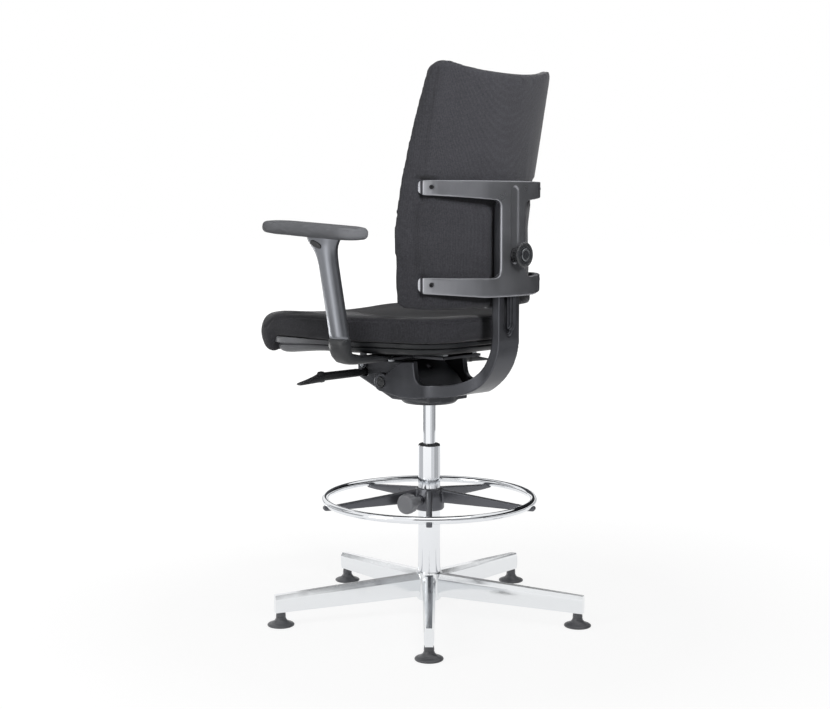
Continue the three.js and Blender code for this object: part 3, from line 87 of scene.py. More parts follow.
# %% [markdown]
# ## Colours and shader nodes
# Colours are written as the hex codes of a paint chart. The renderer works in linear light, so one function
# turns them over. A second function adds any shader node with its settings and its wires in one line, which
# keeps each material readable as a recipe.

# %% Colour and node helpers
# A mix node has sockets for numbers, vectors and colours under the same names: these two take its colours.
COLOUR_A, COLOUR_B = 6, 7


def linear(code):
    """A paint chart colour as linear red, green, blue and alpha."""
    channels = [int(code[i:i + 2], 16) / 255 for i in (1, 3, 5)]
    return [c / 12.92 if c <= 0.04045 else ((c + 0.055) / 1.055) ** 2.4 for c in channels] + [1.0]


def plug(node, wires):
    """Sets or wires inputs of a node. A whole node as a value stands for its first output in use."""
    for socket, value in wires.items():
        if isinstance(value, bpy.types.Node):
            value = next(out for out in value.outputs if out.enabled)
        if isinstance(value, bpy.types.NodeSocket):
            node.id_data.links.new(value, node.inputs[socket])
        else:
            node.inputs[socket].default_value = value


def add_node(tree, kind, wires=None, **settings):
    """Adds a shader node, sets its settings, and plugs in its wires."""
    made = tree.nodes.new("ShaderNode" + kind)
    for name, value in settings.items():
        setattr(made, name, value)
    plug(made, wires or {})
    return made


def start_finish(name, colour, roughness, metallic=0.0, **sockets):
    """A new material with the plain values of its surface; gives the material, its tree and its shader."""
    material = bpy.data.materials.new(name)
    material.use_nodes = True
    shader = material.node_tree.nodes["Principled BSDF"]
    plug(shader, {"Base Color": linear(colour), "Roughness": roughness, "Metallic": metallic})
    plug(shader, {socket.replace("_", " "): value for socket, value in sockets.items()})
    return material, material.node_tree, shader


def per_metre(size_mm):
    """Noise scale that gives grains of that size in millimetres."""
    return 1000 / size_mm


print("mid grey in linear light", [round(c, 3) for c in linear("#808080")])

# %% [markdown]
# ## Metal finishes
# The star base is die-cast aluminium, ground and polished. Its shine is bright but a little soft, and the
# polishing wheel leaves slow waves in it. The column, the piston and the foot ring are steel with chrome
# plate, which is sharper and a touch bluer. Both are full metals with the default index of refraction, so
# one recipe serves both: only the roughness and a very shallow bump tell them apart.

# %% Polished aluminium and chrome plate
SMEAR_MM = 22  # size of the smears that hands leave


def polished_metal(name, colour, roughness, wave_mm, wave_depth, smear):
    """Bare or plated metal: a shallow waviness, and a roughness that drifts where hands wipe it."""
    material, tree, shader = start_finish(name, colour, roughness, 1.0)
    place = add_node(tree, "TexCoord").outputs["Object"]
    wave = add_node(tree, "TexNoise", {"Vector": place, "Scale": per_metre(wave_mm), "Detail": 2.0})
    haze = add_node(tree, "TexNoise", {"Vector": place, "Scale": per_metre(SMEAR_MM), "Detail": 6.0})
    drift = add_node(tree, "MapRange", {
        "Value": haze, "From Min": 0.35, "From Max": 0.7, "To Min": roughness, "To Max": roughness + smear,
    })
    relief = add_node(tree, "Bump", {"Height": wave, "Strength": 0.25, "Distance": wave_depth})
    plug(shader, {"Roughness": drift, "Normal": relief})
    return material


# Grinding and buffing a casting leaves waves about 60 mm long: reflections bend gently along a leg.
polished_aluminium = polished_metal(
    "polished_die_cast_aluminium", "#eaecee", roughness=0.13, wave_mm=60, wave_depth=0.0006, smear=0.06)
# Plated tube is drawn steel: its reflections are crisp and run straight down the tube.
chrome_plate = polished_metal(
    "chrome_plated_steel", "#e9ebee", roughness=0.05, wave_mm=90, wave_depth=0.0001, smear=0.03)
print(polished_aluminium.name, chrome_plate.name)

# %% [markdown]
# Painted castings come next. Powder coat melts into a skin with a fine orange peel, grains of roughly half
# a millimetre, so its highlight is broad and slightly broken. The mechanism is a rougher casting under a
# thin black coat. Zinc plate on pins and screws is a pale, dull metal. All share one recipe: the grain is a
# bump, a slow noise mottles the tone and the gloss, and edges are paler where they rub.

# %% Powder coat, black casting, zinc plate and lacquer
MOTTLE_MM = 45  # size of the slow clouds in a coat
EDGE_STARTS, EDGE_FULL = 0.515, 0.56  # how pointed an edge has to be to rub; flat is 0.5


def coated_metal(name, colour, roughness, peel_mm, peel_depth, worn, metallic=0.0, mottle=0.06, **sockets):
    """A skin on metal or plastic: grain in the bump, slow mottling, and a paler tone where edges rub."""
    material, tree, shader = start_finish(name, colour, roughness, metallic, **sockets)
    place = add_node(tree, "TexCoord").outputs["Object"]
    peel = add_node(tree, "TexNoise", {"Vector": place, "Scale": per_metre(peel_mm), "Detail": 3.0})
    cloud = add_node(tree, "TexNoise", {"Vector": place, "Scale": per_metre(MOTTLE_MM), "Detail": 4.0})
    shade = add_node(tree, "Mix", {
        "Factor": cloud, COLOUR_A: linear(colour), COLOUR_B: linear(worn),
    }, data_type="RGBA")
    rub = add_node(tree, "MapRange", {
        "Value": add_node(tree, "NewGeometry").outputs["Pointiness"],
        "From Min": EDGE_STARTS, "From Max": EDGE_FULL, "To Min": 0.0, "To Max": 0.5,
    })
    tone = add_node(tree, "Mix", {"Factor": rub, COLOUR_A: shade, COLOUR_B: linear(worn)}, data_type="RGBA")
    gloss = add_node(tree, "MapRange", {
        "Value": cloud, "From Min": 0.3, "From Max": 0.7,
        "To Min": roughness - mottle, "To Max": roughness + mottle,
    })
    relief = add_node(tree, "Bump", {"Height": peel, "Strength": 0.5, "Distance": peel_depth})
    plug(shader, {"Base Color": tone, "Roughness": gloss, "Normal": relief})
    return material


# Orange peel is 0.5 mm on the real coat; it is drawn at 1.6 mm, the finest that still shows at this size.
# Metal flake in the coat makes it mirror the room dimly: bright towards the light, dark away from it.
# The numbers are roughness, grain in mm and its depth in metres; the last says how much of it is metal.
graphite_coat = coated_metal("graphite_powder_coat", "#8e8f93", 0.33, 1.6, 0.00015, "#9b9ca1", 0.9)
fork_coat = coated_metal("dark_graphite_powder_coat", "#454649", 0.34, 1.6, 0.00015, "#55565b", 0.85)
spider_coat = coated_metal("grey_graphite_powder_coat", "#5a5b5f", 0.32, 1.6, 0.00015, "#6a6b70", 0.85)
black_casting = coated_metal("black_coated_casting", "#434447", 0.38, 2.2, 0.0003, "#515256", 0.8)
black_oxide = coated_metal("black_oxide_steel", "#1c1c1e", 0.35, 1.5, 0.0001, "#2a2a2c", 0.6)
zinc_plate = coated_metal("zinc_plated_steel", "#8d9093", 0.34, 1.5, 0.0001, "#a4a7aa", 1.0)
# Silver-grey lacquer with fine metal flake: a strong satin highlight down the post.
silver_lacquer = coated_metal(
    "silver_grey_lacquer", "#75777c", 0.34, 1.4, 0.0001, "#7a7c81", 0.85, mottle=0.03)
print(graphite_coat.name, fork_coat.name, black_casting.name, zinc_plate.name, silver_lacquer.name)

# %% [markdown]
# ## Moulded plastics
# The knobs, paddles, elbows and glides are polypropylene or nylon, moulded in spark-eroded tools. The tool
# gives a fine leather-like grain, so the gloss is low and even. The seat pan is the same plastic in a
# lighter grey. The arm pads have a skin of soft polyurethane, which scatters light and hardly shines. The
# recipe of the coats serves here too, with no metal in it: grain is grain, in a mould or in a coat.

# %% Grained plastic and soft pads
dark_plastic = coated_metal("grained_polypropylene", "#1f2022", 0.42, 1.8, 0.0003, "#2c2d2f")
pan_plastic = coated_metal(
    "grey_polypropylene", "#636467", 0.45, 2.0, 0.0003, "#6f7073", Specular_IOR_Level=0.3)
knob_plastic = coated_metal("glass_filled_nylon", "#58595c", 0.36, 1.8, 0.0002, "#6a6b6f")
pad_skin = coated_metal(
    "soft_polyurethane_skin", "#5c5d60", 0.7, 2.4, 0.0004, "#68696c", Specular_IOR_Level=0.05)
# The clamp knob of the ring is a paler nylon. That of the back is moulded in a polished tool, so its rings
# glint, and a bright ring on its face adds a painted glint.
grey_nylon = coated_metal("grey_glass_filled_nylon", "#7b7c80", 0.4, 1.8, 0.0002, "#8a8b8f")
glossy_black = coated_metal("polished_moulded_black", "#1d1e20", 0.2, 2.0, 0.00005, "#2a2b2d", mottle=0.04)
# Painted light and shade: the pan is paler at its front, where the lamps light it most, and darkened towards
# the rear, where it lies in the shade of the cushion.
LIT_FRONT_Y, SHADED_REAR_Y = -0.2, 0.0
tree = pan_plastic.node_tree
shader = tree.nodes["Principled BSDF"]
mottled = shader.inputs["Base Color"].links[0].from_socket
along = add_node(tree, "SeparateXYZ", {"Vector": add_node(tree, "TexCoord").outputs["Object"]})
# Painted shade: 0 at the lit front of the pan, 1 at its shaded rear.
painted_shade = add_node(tree, "MapRange", {
    "Value": along.outputs["Y"], "From Min": LIT_FRONT_Y, "From Max": SHADED_REAR_Y, "To Min": 0.0, "To Max": 1.0,
}, interpolation_type="SMOOTHSTEP")
plug(shader, {"Base Color": add_node(tree, "Mix", {
    "Factor": painted_shade, COLOUR_A: mottled, COLOUR_B: linear("#1e1f21"),
}, data_type="RGBA")})
print(dark_plastic.name, pan_plastic.name, pad_skin.name)

# %% [markdown]
# ## Upholstery
# The seat and the back are covered in one black woven wool blend. Crossing yarns stand about 0.8 mm apart.
# An unwrapped cloth pattern would need seams in every cover. Bands across all three directions of space
# give the weave without any, a noise breaks it up as real yarn does, and a sheen lifts the tone at grazing
# angles, because loose fibres catch light there.

# %% Woven cloth
PATCH_MM = 70  # size of the slow change of tone across a bolt of cloth
WAVE_BAND = math.tau / 20  # a wave texture has one band in this many units, at scale 1


def woven_cloth(name, dark, light, yarn_mm):
    """Plain weave without a fixed layout: three crossed bands in space, so no surface misses it."""
    material, tree, shader = start_finish(name, dark, 0.92, Sheen_Weight=0.12, Sheen_Roughness=0.45,
                                          Specular_IOR_Level=0.25)
    place = add_node(tree, "TexCoord").outputs["Object"]
    bands = [
        add_node(tree, "TexWave", {
            "Vector": place, "Scale": per_metre(yarn_mm) * WAVE_BAND, "Distortion": 1.5,
            "Detail": 2.0, "Detail Scale": 2.0,
        }, wave_type="BANDS", bands_direction=axis).outputs["Fac"]
        for axis in "XYZ"
    ]
    weft = add_node(tree, "Math", {0: bands[0], 1: bands[1]}, operation="MAXIMUM")
    cross = add_node(tree, "Math", {0: weft, 1: bands[2]}, operation="MULTIPLY")
    # The bands only tint the yarn: loose fibres hide most of the grid.
    weave = add_node(tree, "MapRange", {
        "Value": cross, "From Min": 0.0, "From Max": 1.0, "To Min": 0.55, "To Max": 1.0,
    })
    fibre = add_node(tree, "TexNoise", {
        "Vector": place, "Scale": per_metre(yarn_mm * 1.4), "Detail": 4.0, "Roughness": 0.8,
    })
    patch = add_node(tree, "TexNoise", {"Vector": place, "Scale": per_metre(PATCH_MM), "Detail": 3.0})
    mixed = add_node(tree, "Math", {0: weave, 1: fibre}, operation="MULTIPLY")
    slow = add_node(tree, "MapRange", {
        "Value": patch, "From Min": 0.0, "From Max": 1.0, "To Min": 0.44, "To Max": 0.56,
    })
    worn = add_node(tree, "Math", {0: mixed, 1: slow}, operation="ADD")
    tone = add_node(tree, "MapRange", {
        "Value": worn, "From Min": 0.62, "From Max": 1.12, "To Min": 0.0, "To Max": 1.0,
    })
    shade = add_node(tree, "Mix", {
        "Factor": tone, COLOUR_A: linear(dark), COLOUR_B: linear(light),
    }, data_type="RGBA")
    relief = add_node(tree, "Bump", {"Height": fibre, "Strength": 0.5, "Distance": 0.0006})
    plug(shader, {"Base Color": shade, "Normal": relief})
    return material


# Yarns 0.8 mm apart would blur away at this distance, so they are drawn 2.4 mm apart.
black_weave = woven_cloth("black_woven_wool_blend", "#19191b", "#39393d", 2.4)
print(black_weave.name)

# %% [markdown]
# ## Making meshes
# Most pieces here are one of three things: a turned shape, a skin stretched over rings, or a casting. Each
# has one small helper. A new piece always rides on the body of the solid that it stands for, and hides that
# solid.

# %% Mesh helpers
MM = 0.001
SIDES = (("left", 1), ("right", -1))
body_of = {node: body for body, nodes in frame["record"]["behaviour"]["bodies"].items() for node in nodes}
slot_of = {name: part.data.materials[0].name.split(".")[0] for name, part in frame["nodes"].items()}
hidden = set()  # the solids that a finished piece has replaced
print("nodes with a body", len(body_of), "slots", sorted(set(slot_of.values())))


def new_mesh(name, points, faces):
    """A mesh object from points in metres."""
    mesh = bpy.data.meshes.new(name)
    mesh.from_pydata([tuple(p) for p in points], [], faces)
    mesh.validate()
    made = bpy.data.objects.new(name, mesh)
    bpy.context.scene.collection.objects.link(made)
    outward(made)
    return made


def outward(piece):
    """Turns every face of a closed mesh to look out."""
    work = bmesh.new()
    work.from_mesh(piece.data)
    bmesh.ops.recalc_face_normals(work, faces=work.faces)
    if work.calc_volume(signed=True) < 0:
        bmesh.ops.reverse_faces(work, faces=work.faces)
    work.to_mesh(piece.data)
    work.free()


def smooth_faces(piece):
    """Shades every face as part of a curve."""
    piece.data.polygons.foreach_set("use_smooth", [True] * len(piece.data.polygons))
    piece.data.update()


def modify(piece, kind, **settings):
    """Adds a modifier with its settings."""
    made = piece.modifiers.new(kind.title(), kind)
    for name, value in settings.items():
        setattr(made, name, value)


def settle(piece):
    """Keeps the shape that the modifiers give, and drops the modifiers."""
    evaluated = piece.evaluated_get(bpy.context.evaluated_depsgraph_get())
    made = bpy.data.meshes.new_from_object(evaluated)
    piece.modifiers.clear()
    old, piece.data = piece.data, made
    bpy.data.meshes.remove(old)
    return piece


def refine(piece):
    """Splits each face in four and rounds them."""
    modify(piece, "SUBSURF", levels=1, render_levels=1)
    return settle(piece)


def put(piece, material, *nodes):
    """Finishes a piece: its material, the body of the solids it stands for, and hides them."""
    piece.data.materials.clear()
    piece.data.materials.append(material)
    smooth_faces(piece)
    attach(piece, body_of[nodes[0]])
    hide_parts(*nodes)
    hidden.update(nodes)
    lo, hi = [piece.matrix_world @ Vector(c) for c in (piece.bound_box[0], piece.bound_box[6])]
    print(f"{piece.name}: {len(piece.data.polygons)} faces, {[round(v / MM) for v in hi - lo]} mm")
    return piece


def copy_of(node, name):
    """A free copy of a solid, to be worked into a finished piece."""
    made = frame["nodes"][node].copy()
    made.data = made.data.copy()
    made.name = made.data.name = name
    made.modifiers.clear()
    bpy.context.scene.collection.objects.link(made)
    made.parent = None
    made.hide_render = made.hide_viewport = False
    return made


def even_mesh(piece, voxel, rounds=4):
    """One closed skin of even quads, with its corners rubbed round."""
    modify(piece, "REMESH", mode="VOXEL", voxel_size=voxel)
    modify(piece, "SMOOTH", factor=0.5, iterations=rounds)
    return settle(piece)


def positions(piece):
    """The points of a piece as rows of x, y and z."""
    flat = np.zeros(len(piece.data.vertices) * 3)
    piece.data.vertices.foreach_get("co", flat)
    return flat.reshape(-1, 3)


def place_points(piece, points):
    """Moves the points of a piece to these rows of x, y and z."""
    piece.data.vertices.foreach_set("co", np.asarray(points).reshape(-1))
    piece.data.update()


# %% [markdown]
# Sizes are easiest to read from one fixed place. The chassis frame has its origin on the axis of the column,
# at the underside of the mechanism, and counts in millimetres. Every shape that is not turned uses it.

# %% The chassis frame
piston_low, piston_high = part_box("gas_piston")
CHASSIS = Vector(((piston_low.x + piston_high.x) / 2, (piston_low.y + piston_high.y) / 2,
                  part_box("taper_sleeve")[0].z))


def from_chassis(x, y, z):
    """A point of the chassis frame, in metres from the floor."""
    return (CHASSIS.x + x * MM, CHASSIS.y + y * MM, CHASSIS.z + z * MM)


def in_chassis(piece):
    """The points of a piece in the chassis frame."""
    return (positions(piece) - np.array(CHASSIS)) / MM


def set_chassis(piece, flat):
    """Moves the points of a piece to these places in the chassis frame."""
    place_points(piece, flat * MM + np.array(CHASSIS))


def box_in_chassis(node):
    """The lowest and the highest corner of a solid."""
    return [(corner - CHASSIS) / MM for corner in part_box(node)]


print("chassis frame at", [round(v, 4) for v in CHASSIS])

# %% [markdown]
# ## Upholstered seat and back
# Each cushion is foam under a sewn cover. The foam pushes the cover out until the cloth is tight, so the
# faces crown a little and every edge is round. Sculpting that by hand is slow and never even. Here the cover
# starts a little small, in an even mesh. A cloth simulation with air pressure then inflates it, and a cap
# keeps every point close to where the foam would hold it.

# %% Inflate a cover
VOXEL = 5 * MM
CLOTH_FRAMES = 20
TENSION, COMPRESSION, BENDING = 25, 15, 0.6  # stiffness of upholstery cloth


def inflate(piece, cap, freedom, pressure=4.0):
    """Blows the cover up. Each point moves at most cap, times its own freedom from 0 to 1."""
    start = positions(piece)
    modify(piece, "CLOTH")
    cloth = piece.modifiers[-1].settings
    cloth.quality = 5
    cloth.use_pressure = True
    cloth.uniform_pressure_force = pressure
    cloth.effector_weights.gravity = 0
    cloth.tension_stiffness, cloth.compression_stiffness = TENSION, COMPRESSION
    cloth.bending_stiffness = BENDING
    scene = bpy.context.scene
    for number in range(1, CLOTH_FRAMES + 1):
        scene.frame_set(number)
    settle(piece)
    step = positions(piece) - start
    length = np.linalg.norm(step, axis=1, keepdims=True)
    reach = cap * np.asarray(freedom).reshape(-1, 1)
    place_points(piece, start + step * np.minimum(1, reach / np.maximum(length, 1e-9)))
    scene.frame_set(1)
    print(f"{piece.name}: cloth moved {length.mean() / MM:.1f} mm, kept within {reach.max() / MM:.0f} mm")


# %% [markdown]
# The seat is one thick cushion, wider at the front, with a nose that rolls down over the front of the pan.
# A side band is sewn to the top panel just below the edge. Rings of the seat's plan, each a little smaller
# or larger than the last, are stretched into a skin. That is how a pattern cutter thinks of it: one outline,
# taken in here and let out there. The seam comes after the simulation, because a remesh would rub it away.

# %% Skin over rings
def skin(name, rings):
    """A closed mesh over rings of equal point counts in the chassis frame, capped at both ends."""
    count = len(rings[0])
    faces = []
    for k in range(len(rings) - 1):
        for i in range(count):
            a, b = k * count + i, k * count + (i + 1) % count
            faces.append((a, b, b + count, a + count))
    last = (len(rings) - 1) * count
    faces.append(tuple(reversed(range(count))))
    faces.append(tuple(range(last, last + count)))
    return new_mesh(name, [from_chassis(*point) for ring in rings for point in ring], faces)


def arc(cx, cy, radius, start, end, count=14):
    """Points of an arc, with its angles in degrees."""
    turns = np.radians(np.linspace(start, end, count))
    return [(cx + radius * math.cos(t), cy + radius * math.sin(t)) for t in turns]


def curve(points, count=14):
    """Points of a Bezier curve of any degree."""
    made = []
    for t in np.linspace(0, 1, count):
        level = [np.array(p, float) for p in points]
        while len(level) > 1:
            level = [a * (1 - t) + b * t for a, b in zip(level, level[1:])]
        made.append(tuple(level[0]))
    return made


def even_points(points, count):
    """The same closed line with its points spread evenly along it."""
    line = np.array(list(points) + [points[0]], float)
    step = np.linalg.norm(np.diff(line, axis=0), axis=1)
    along = np.concatenate([[0], np.cumsum(step)])
    wanted = np.linspace(0, along[-1], count, endpoint=False)
    return np.stack([np.interp(wanted, along, line[:, k]) for k in range(line.shape[1])], 1)


def smooth(t, low, high):
    """0 below low, 1 above high, and a soft step between."""
    share = np.clip((np.asarray(t, float) - low) / (high - low), 0, 1)
    return share * share * (3 - 2 * share)


quarter = [(round(float(x)), round(float(y))) for x, y in arc(0, 0, 10, 0, 90, 3)]
print("a quarter turn of radius 10:", quarter)

# %% Seat cushion: plan and rings
seat_low, seat_high = box_in_chassis("seat_cushion")
pan_low, pan_high = box_in_chassis("seat_pan")
SEAT_HALF, SEAT_FRONT, SEAT_REAR = seat_high.x, seat_low.y, seat_high.y
REAR_HALF = 186
FRONT_CORNER, REAR_CORNER = 78, 112
WAIST = SEAT_FRONT + 0.45 * (SEAT_REAR - SEAT_FRONT)


def seat_plan(inset, front):
    """The seat from above, taken in at the sides by inset, with its front edge moved back by front."""
    wide, narrow, rear = SEAT_HALF - inset, REAR_HALF - inset, SEAT_REAR - inset
    near, far = FRONT_CORNER - inset, REAR_CORNER - inset
    shoulder = (WAIST + rear) / 2 - far / 2
    y = SEAT_FRONT + front
    half = arc(wide - near, y + near, near, -90, 0, 20)
    half += curve([(wide, WAIST), (wide, shoulder), (narrow, rear - far)], 24)
    half += arc(narrow - far, rear - far, far, 0, 90, 20)
    mirrored = [(-x, v) for x, v in reversed(half)]
    return even_points(half + mirrored, 220)


# Height as a share of the thickness, take-in at the sides, and how far the front edge is rolled back.
SEAT_ROLL = [
    (0.0, 60, 112), (0.0, 14, 40), (0.05, 8, 22), (0.12, 4, 13), (0.27, 1, 4), (0.46, 0, 0), (0.65, 0.5, 3),
    (0.8, 1.5, 11), (0.88, 2.5, 20), (0.93, 4, 32), (0.96, 6, 50), (0.98, 9, 74), (0.992, 15, 104),
    (0.998, 26, 130), (1.0, 50, 170), (1.0, 90, 210),
]
FRONT_DROP = 12  # the pan's belly and the nose hang this much lower at the front
NOSE_BOTTOM = pan_low.z + 1 - FRONT_DROP
RIM_TOP = pan_high.z + 0.5
NOSE_WRAPS = (-286, -264)  # from the front of the pan to where the cushion lies on its rim


def seat_bottom(y):
    """Underside of the cushion: on the rim of the pan, and lower where the nose wraps round its front."""
    return RIM_TOP + (NOSE_BOTTOM - RIM_TOP) * (1 - smooth(y, *NOSE_WRAPS))


def seat_share(flat):
    """How high each point lies between the underside and the top of the cushion, from 0 to 1."""
    low = seat_bottom(flat[:, 1])
    return (flat[:, 2] - low) / (seat_high.z - low)


rings = []
for share, inset, front in SEAT_ROLL:
    ring = seat_plan(inset, front)
    low = seat_bottom(ring[:, 1])
    rings.append(np.column_stack([ring, low + share * (seat_high.z - low)]))
seat_cover = even_mesh(skin("seat_cover", rings), VOXEL, 3)
flat = in_chassis(seat_cover)
# The foam is cut hollow across the front, where the thighs lie, and dished a little at the back.
HOLLOW_DEEP, HOLLOW_HALF, HOLLOW_FROM, HOLLOW_FULL = 9, 190, 60, 250
DISH_DEEP, DISH_HALF, DISH_LONG, DISH_MIDDLE = 5, 170, 150, 10


def bowl(offset, half):
    """1 in the middle and 0 at half, along a parabola."""
    return np.clip(1 - (offset / half) ** 2, 0, 1)


hollow = smooth(-flat[:, 1], HOLLOW_FROM, HOLLOW_FULL) * bowl(flat[:, 0], HOLLOW_HALF) * HOLLOW_DEEP
dish = bowl(flat[:, 0], DISH_HALF) * bowl(flat[:, 1] - DISH_MIDDLE, DISH_LONG) * DISH_DEEP
flat[:, 2] -= (hollow + dish) * smooth(seat_share(flat), 0.6, 0.95)
set_chassis(seat_cover, flat)
# Next to the pan the cloth is stapled under its rim, so it can't swell there.
inflate(seat_cover, 4 * MM, smooth(seat_share(flat), 0.0, 0.25))
refine(seat_cover)
print("seat skin", len(seat_cover.data.vertices), "points")

# %% [markdown]
# A seam is a groove about five millimetres wide where two panels are pulled together, with the cloth
# standing up a little on each side of it. Modelling stitches would not show at this size, but the groove
# does, because light catches its lips. The panels meet just under the top edge, all round the seat, and the
# side band is closed at the two rear corners.

# %% Press the seams of the seat
FAR = 99  # a distance at which nothing is pressed


def press(piece, distance, width, depth, lip=0.35):
    """Pulls the points near a line inwards, by their distance to it, and lifts the cloth beside it."""
    count = len(piece.data.vertices)
    normals = np.zeros(count * 3)
    piece.data.vertices.foreach_get("normal", normals)
    t = np.abs(distance) / width
    groove = np.exp(-(t * 2.2) ** 2) - lip * np.exp(-((t - 1.3) * 2.2) ** 2)
    place_points(piece, positions(piece) - normals.reshape(-1, 3) * (groove * depth)[:, None])


flat = in_chassis(seat_cover)
# The seam lies at this share of the height, falls towards the nose, and ends at it.
SEAM_SHARE, SEAM_FALL = 0.89, 0.30
FALL_FROM, NOSE = 150, 55
fall = SEAM_FALL * smooth(-flat[:, 1], FALL_FROM, -SEAT_FRONT - 5)
below_seam = SEAM_SHARE - fall - seat_share(flat)
seam = np.where(flat[:, 1] > SEAT_FRONT + NOSE, below_seam * (seat_high.z - pan_high.z), FAR)
press(seat_cover, seam, width=4.0, depth=1.8 * MM)
# How far out the side band is closed, and how far back a point has to lie to be on the rear of the seat.
CLOSED_OUT, REAR_FROM = 0.93 * (REAR_HALF - 25), 60
for _, out in SIDES:
    gap = np.where((below_seam > 0) & (flat[:, 1] > REAR_FROM), flat[:, 0] * out - CLOSED_OUT, FAR)
    press(seat_cover, gap, width=3.5, depth=1.3 * MM)
put(seat_cover, black_weave, "seat_cushion")

# %% [markdown]
# The pan under the cushion is a shallow polypropylene tray. From the side it shows a lip, a channel under
# the lip that hides the staples, and a belly that curves in to the flat bottom. A tray could be cut from a
# block, but the same plan curve gives every ring here, so the pan follows the cushion all round.

# %% Seat pan
PAN_INSET = 7
REAR_INSET = 13  # from the middle to the rear the pan steps in further under the cushion
PAN_BACK = pan_low.y - SEAT_FRONT
# Share of the height and take-in of the outside, from the bottom up, and then of the inside back down.
PAN_OUTSIDE = [
    (0, 60), (0, 34), (0.03, 26), (0.1, 19), (0.2, 14), (0.34, 10.5), (0.46, 9.2), (0.51, 9.8), (0.55, 11.6),
    (0.6, 12), (0.63, 11), (0.65, 3), (0.67, 0.8), (0.72, 0), (0.94, 0), (0.985, 0.6), (1, 1.8),
]
PAN_INSIDE = [(1, 3.6), (0.98, 4.8), (0.9, 5.4), (0.72, 14), (0.4, 16), (0.28, 22), (0.22, 32), (0.22, 60)]
pan_height = pan_high.z - pan_low.z
# The bottom closes in steps towards its middle, so that it dips at the front and stays level over the arms.
BOTTOM_STEPS = [(0, 60, size) for size in (0.2, 0.4, 0.6, 0.8)]
rings = []
for share, inset, size in BOTTOM_STEPS + [(*row, 1) for row in PAN_OUTSIDE + PAN_INSIDE]:
    ring = seat_plan(PAN_INSET + inset, PAN_BACK + inset)
    ring = ring.mean(axis=0) + (ring - ring.mean(axis=0)) * size
    ring *= 1 - (REAR_INSET / SEAT_HALF) * smooth(ring[:, 1], -190, -60)[:, None]
    sunk = FRONT_DROP * smooth(-ring[:, 1], 120, 285) * (1 - share) ** 0.8
    rings.append(np.column_stack([ring, pan_low.z + share * pan_height - sunk]))
pan = skin("seat_pan_moulding", rings)
modify(pan, "WEIGHTED_NORMAL", keep_sharp=True)
put(pan, pan_plastic, "seat_pan")

# %% [markdown]
# The backrest is one tall pad round a stiff moulded shell. Its front is a shallow hollow that takes the
# sitter's back, and its rear is a deep bow, so the shell wraps round the carrier. The rim is a soft band
# about 35 mm wide. The arms of the carrier lie on the cloth near their tips and press into it, so the cloth
# stands proud above and below each arm. The same curves as in the solid give the skin, ring by ring: down
# the front face from its middle, round the rim, and up the rear face.

# %% Backrest: curves of the pad
BACK_BOTTOM, BACK_TOP, BACK_LUMBAR = box_in_chassis("back_cushion")[0].z, 737, 392
RIM, BACK_RADIUS = 34, 22
# Each pair is the size at the hollow of the back and the size at the top.
BACK_WIDTH, BACK_DEPTH, REAR_TAPER = (429, 367), (74, 40), (32, 4)
# The rim: how far back it lies at the hollow, how much further at the top, and at the bottom.
EDGE_BACK, EDGE_TOP, EDGE_BOTTOM = 107, 72, 11
FRONT_PROUD, FRONT_HOLLOW = 8, 50


def rise(z):
    """0 at the hollow of the back and below, 1 at the top."""
    return np.clip((z - BACK_LUMBAR) / (BACK_TOP - BACK_LUMBAR), 0, 1)


def drop(z):
    """0 at the hollow of the back and above, 1 at the bottom."""
    return np.clip((BACK_LUMBAR - z) / (BACK_LUMBAR - BACK_BOTTOM), 0, 1)


def between(pair, share):
    """The first of a pair at 0, the second at 1, and a straight mix between."""
    return pair[0] + (pair[1] - pair[0]) * share


def back_half(z):
    """Half the width of the pad: it narrows to the top, and grows a little below the hollow."""
    low = np.clip((BACK_LUMBAR - z) / (BACK_TOP - BACK_LUMBAR), 0, None) * -4
    return between(BACK_WIDTH, rise(z) ** 1.8) / 2 - low


def back_edge(z):
    """How far back the rim lies: the pad leans back above the hollow, and a little below it too."""
    return EDGE_BACK + EDGE_BOTTOM * drop(z) ** 2 + EDGE_TOP * rise(z) ** 1.3


def back_point(x, z, share):
    """A point of the pad, with share from 0 on the front face to 1 on the rear face."""
    t, half = rise(z), back_half(z)
    u = np.clip(x / half, -1, 1)
    rear = RIM / 2 + (between(BACK_DEPTH, t) - EDGE_BOTTOM * drop(z) ** 2) * (1 - u * u) ** 0.75
    front = -RIM / 2 - FRONT_PROUD + FRONT_HOLLOW * (1 - 0.4 * t) * (1 - u * u)
    y = back_edge(z) + front + (rear - front) * share
    return u * (half - between(REAR_TAPER, t) * share), y


def back_outline(count=240):
    """The pad from behind: straight sides, a round foot, and a top edge that dips between two corners."""
    r = BACK_RADIUS
    foot = BACK_BOTTOM - 4
    side = [(back_half(z), z) for z in np.linspace(foot + 18, BACK_TOP - 24, 40)]
    low, top = float(back_half(BACK_BOTTOM)), float(back_half(BACK_TOP))
    half = curve([(low - 18, foot), (low, foot), side[0]], 10)[:-1] + side
    half += curve([side[-1], (top + 1, BACK_TOP + 2), (top - r, BACK_TOP - 4)], 12)[1:]
    dip = [(top - r, BACK_TOP - 4), (top / 2, BACK_TOP - 25)]
    half += [p for p in curve(dip + [(-x, z) for x, z in reversed(dip)], 41) if p[0] > 0][1:]
    return even_points(half + [(-x, z) for x, z in reversed(half)], count)


outline = back_outline()
pad_middle = np.array([0, (BACK_BOTTOM + BACK_TOP) / 2])
print("backrest from behind:", np.round([outline.min(axis=0), outline.max(axis=0)]).tolist())

# %% Backrest: rings of the pad
SPAN = 190  # from the middle to the rim, to turn an inset into a scale
FRONT_ROLL, REAR_ROLL = 11, 9
INSETS = [170, 130, 90, 60, 40, 26, 18, 13, 9, 6, 3.5, 1.5, 0.4]


def rim_turn(inset, radius):
    """How far a face has turned over the rounded rim, at this inset from its edge."""
    near = max(radius - inset, 0)
    return radius - math.sqrt(radius * radius - near * near)


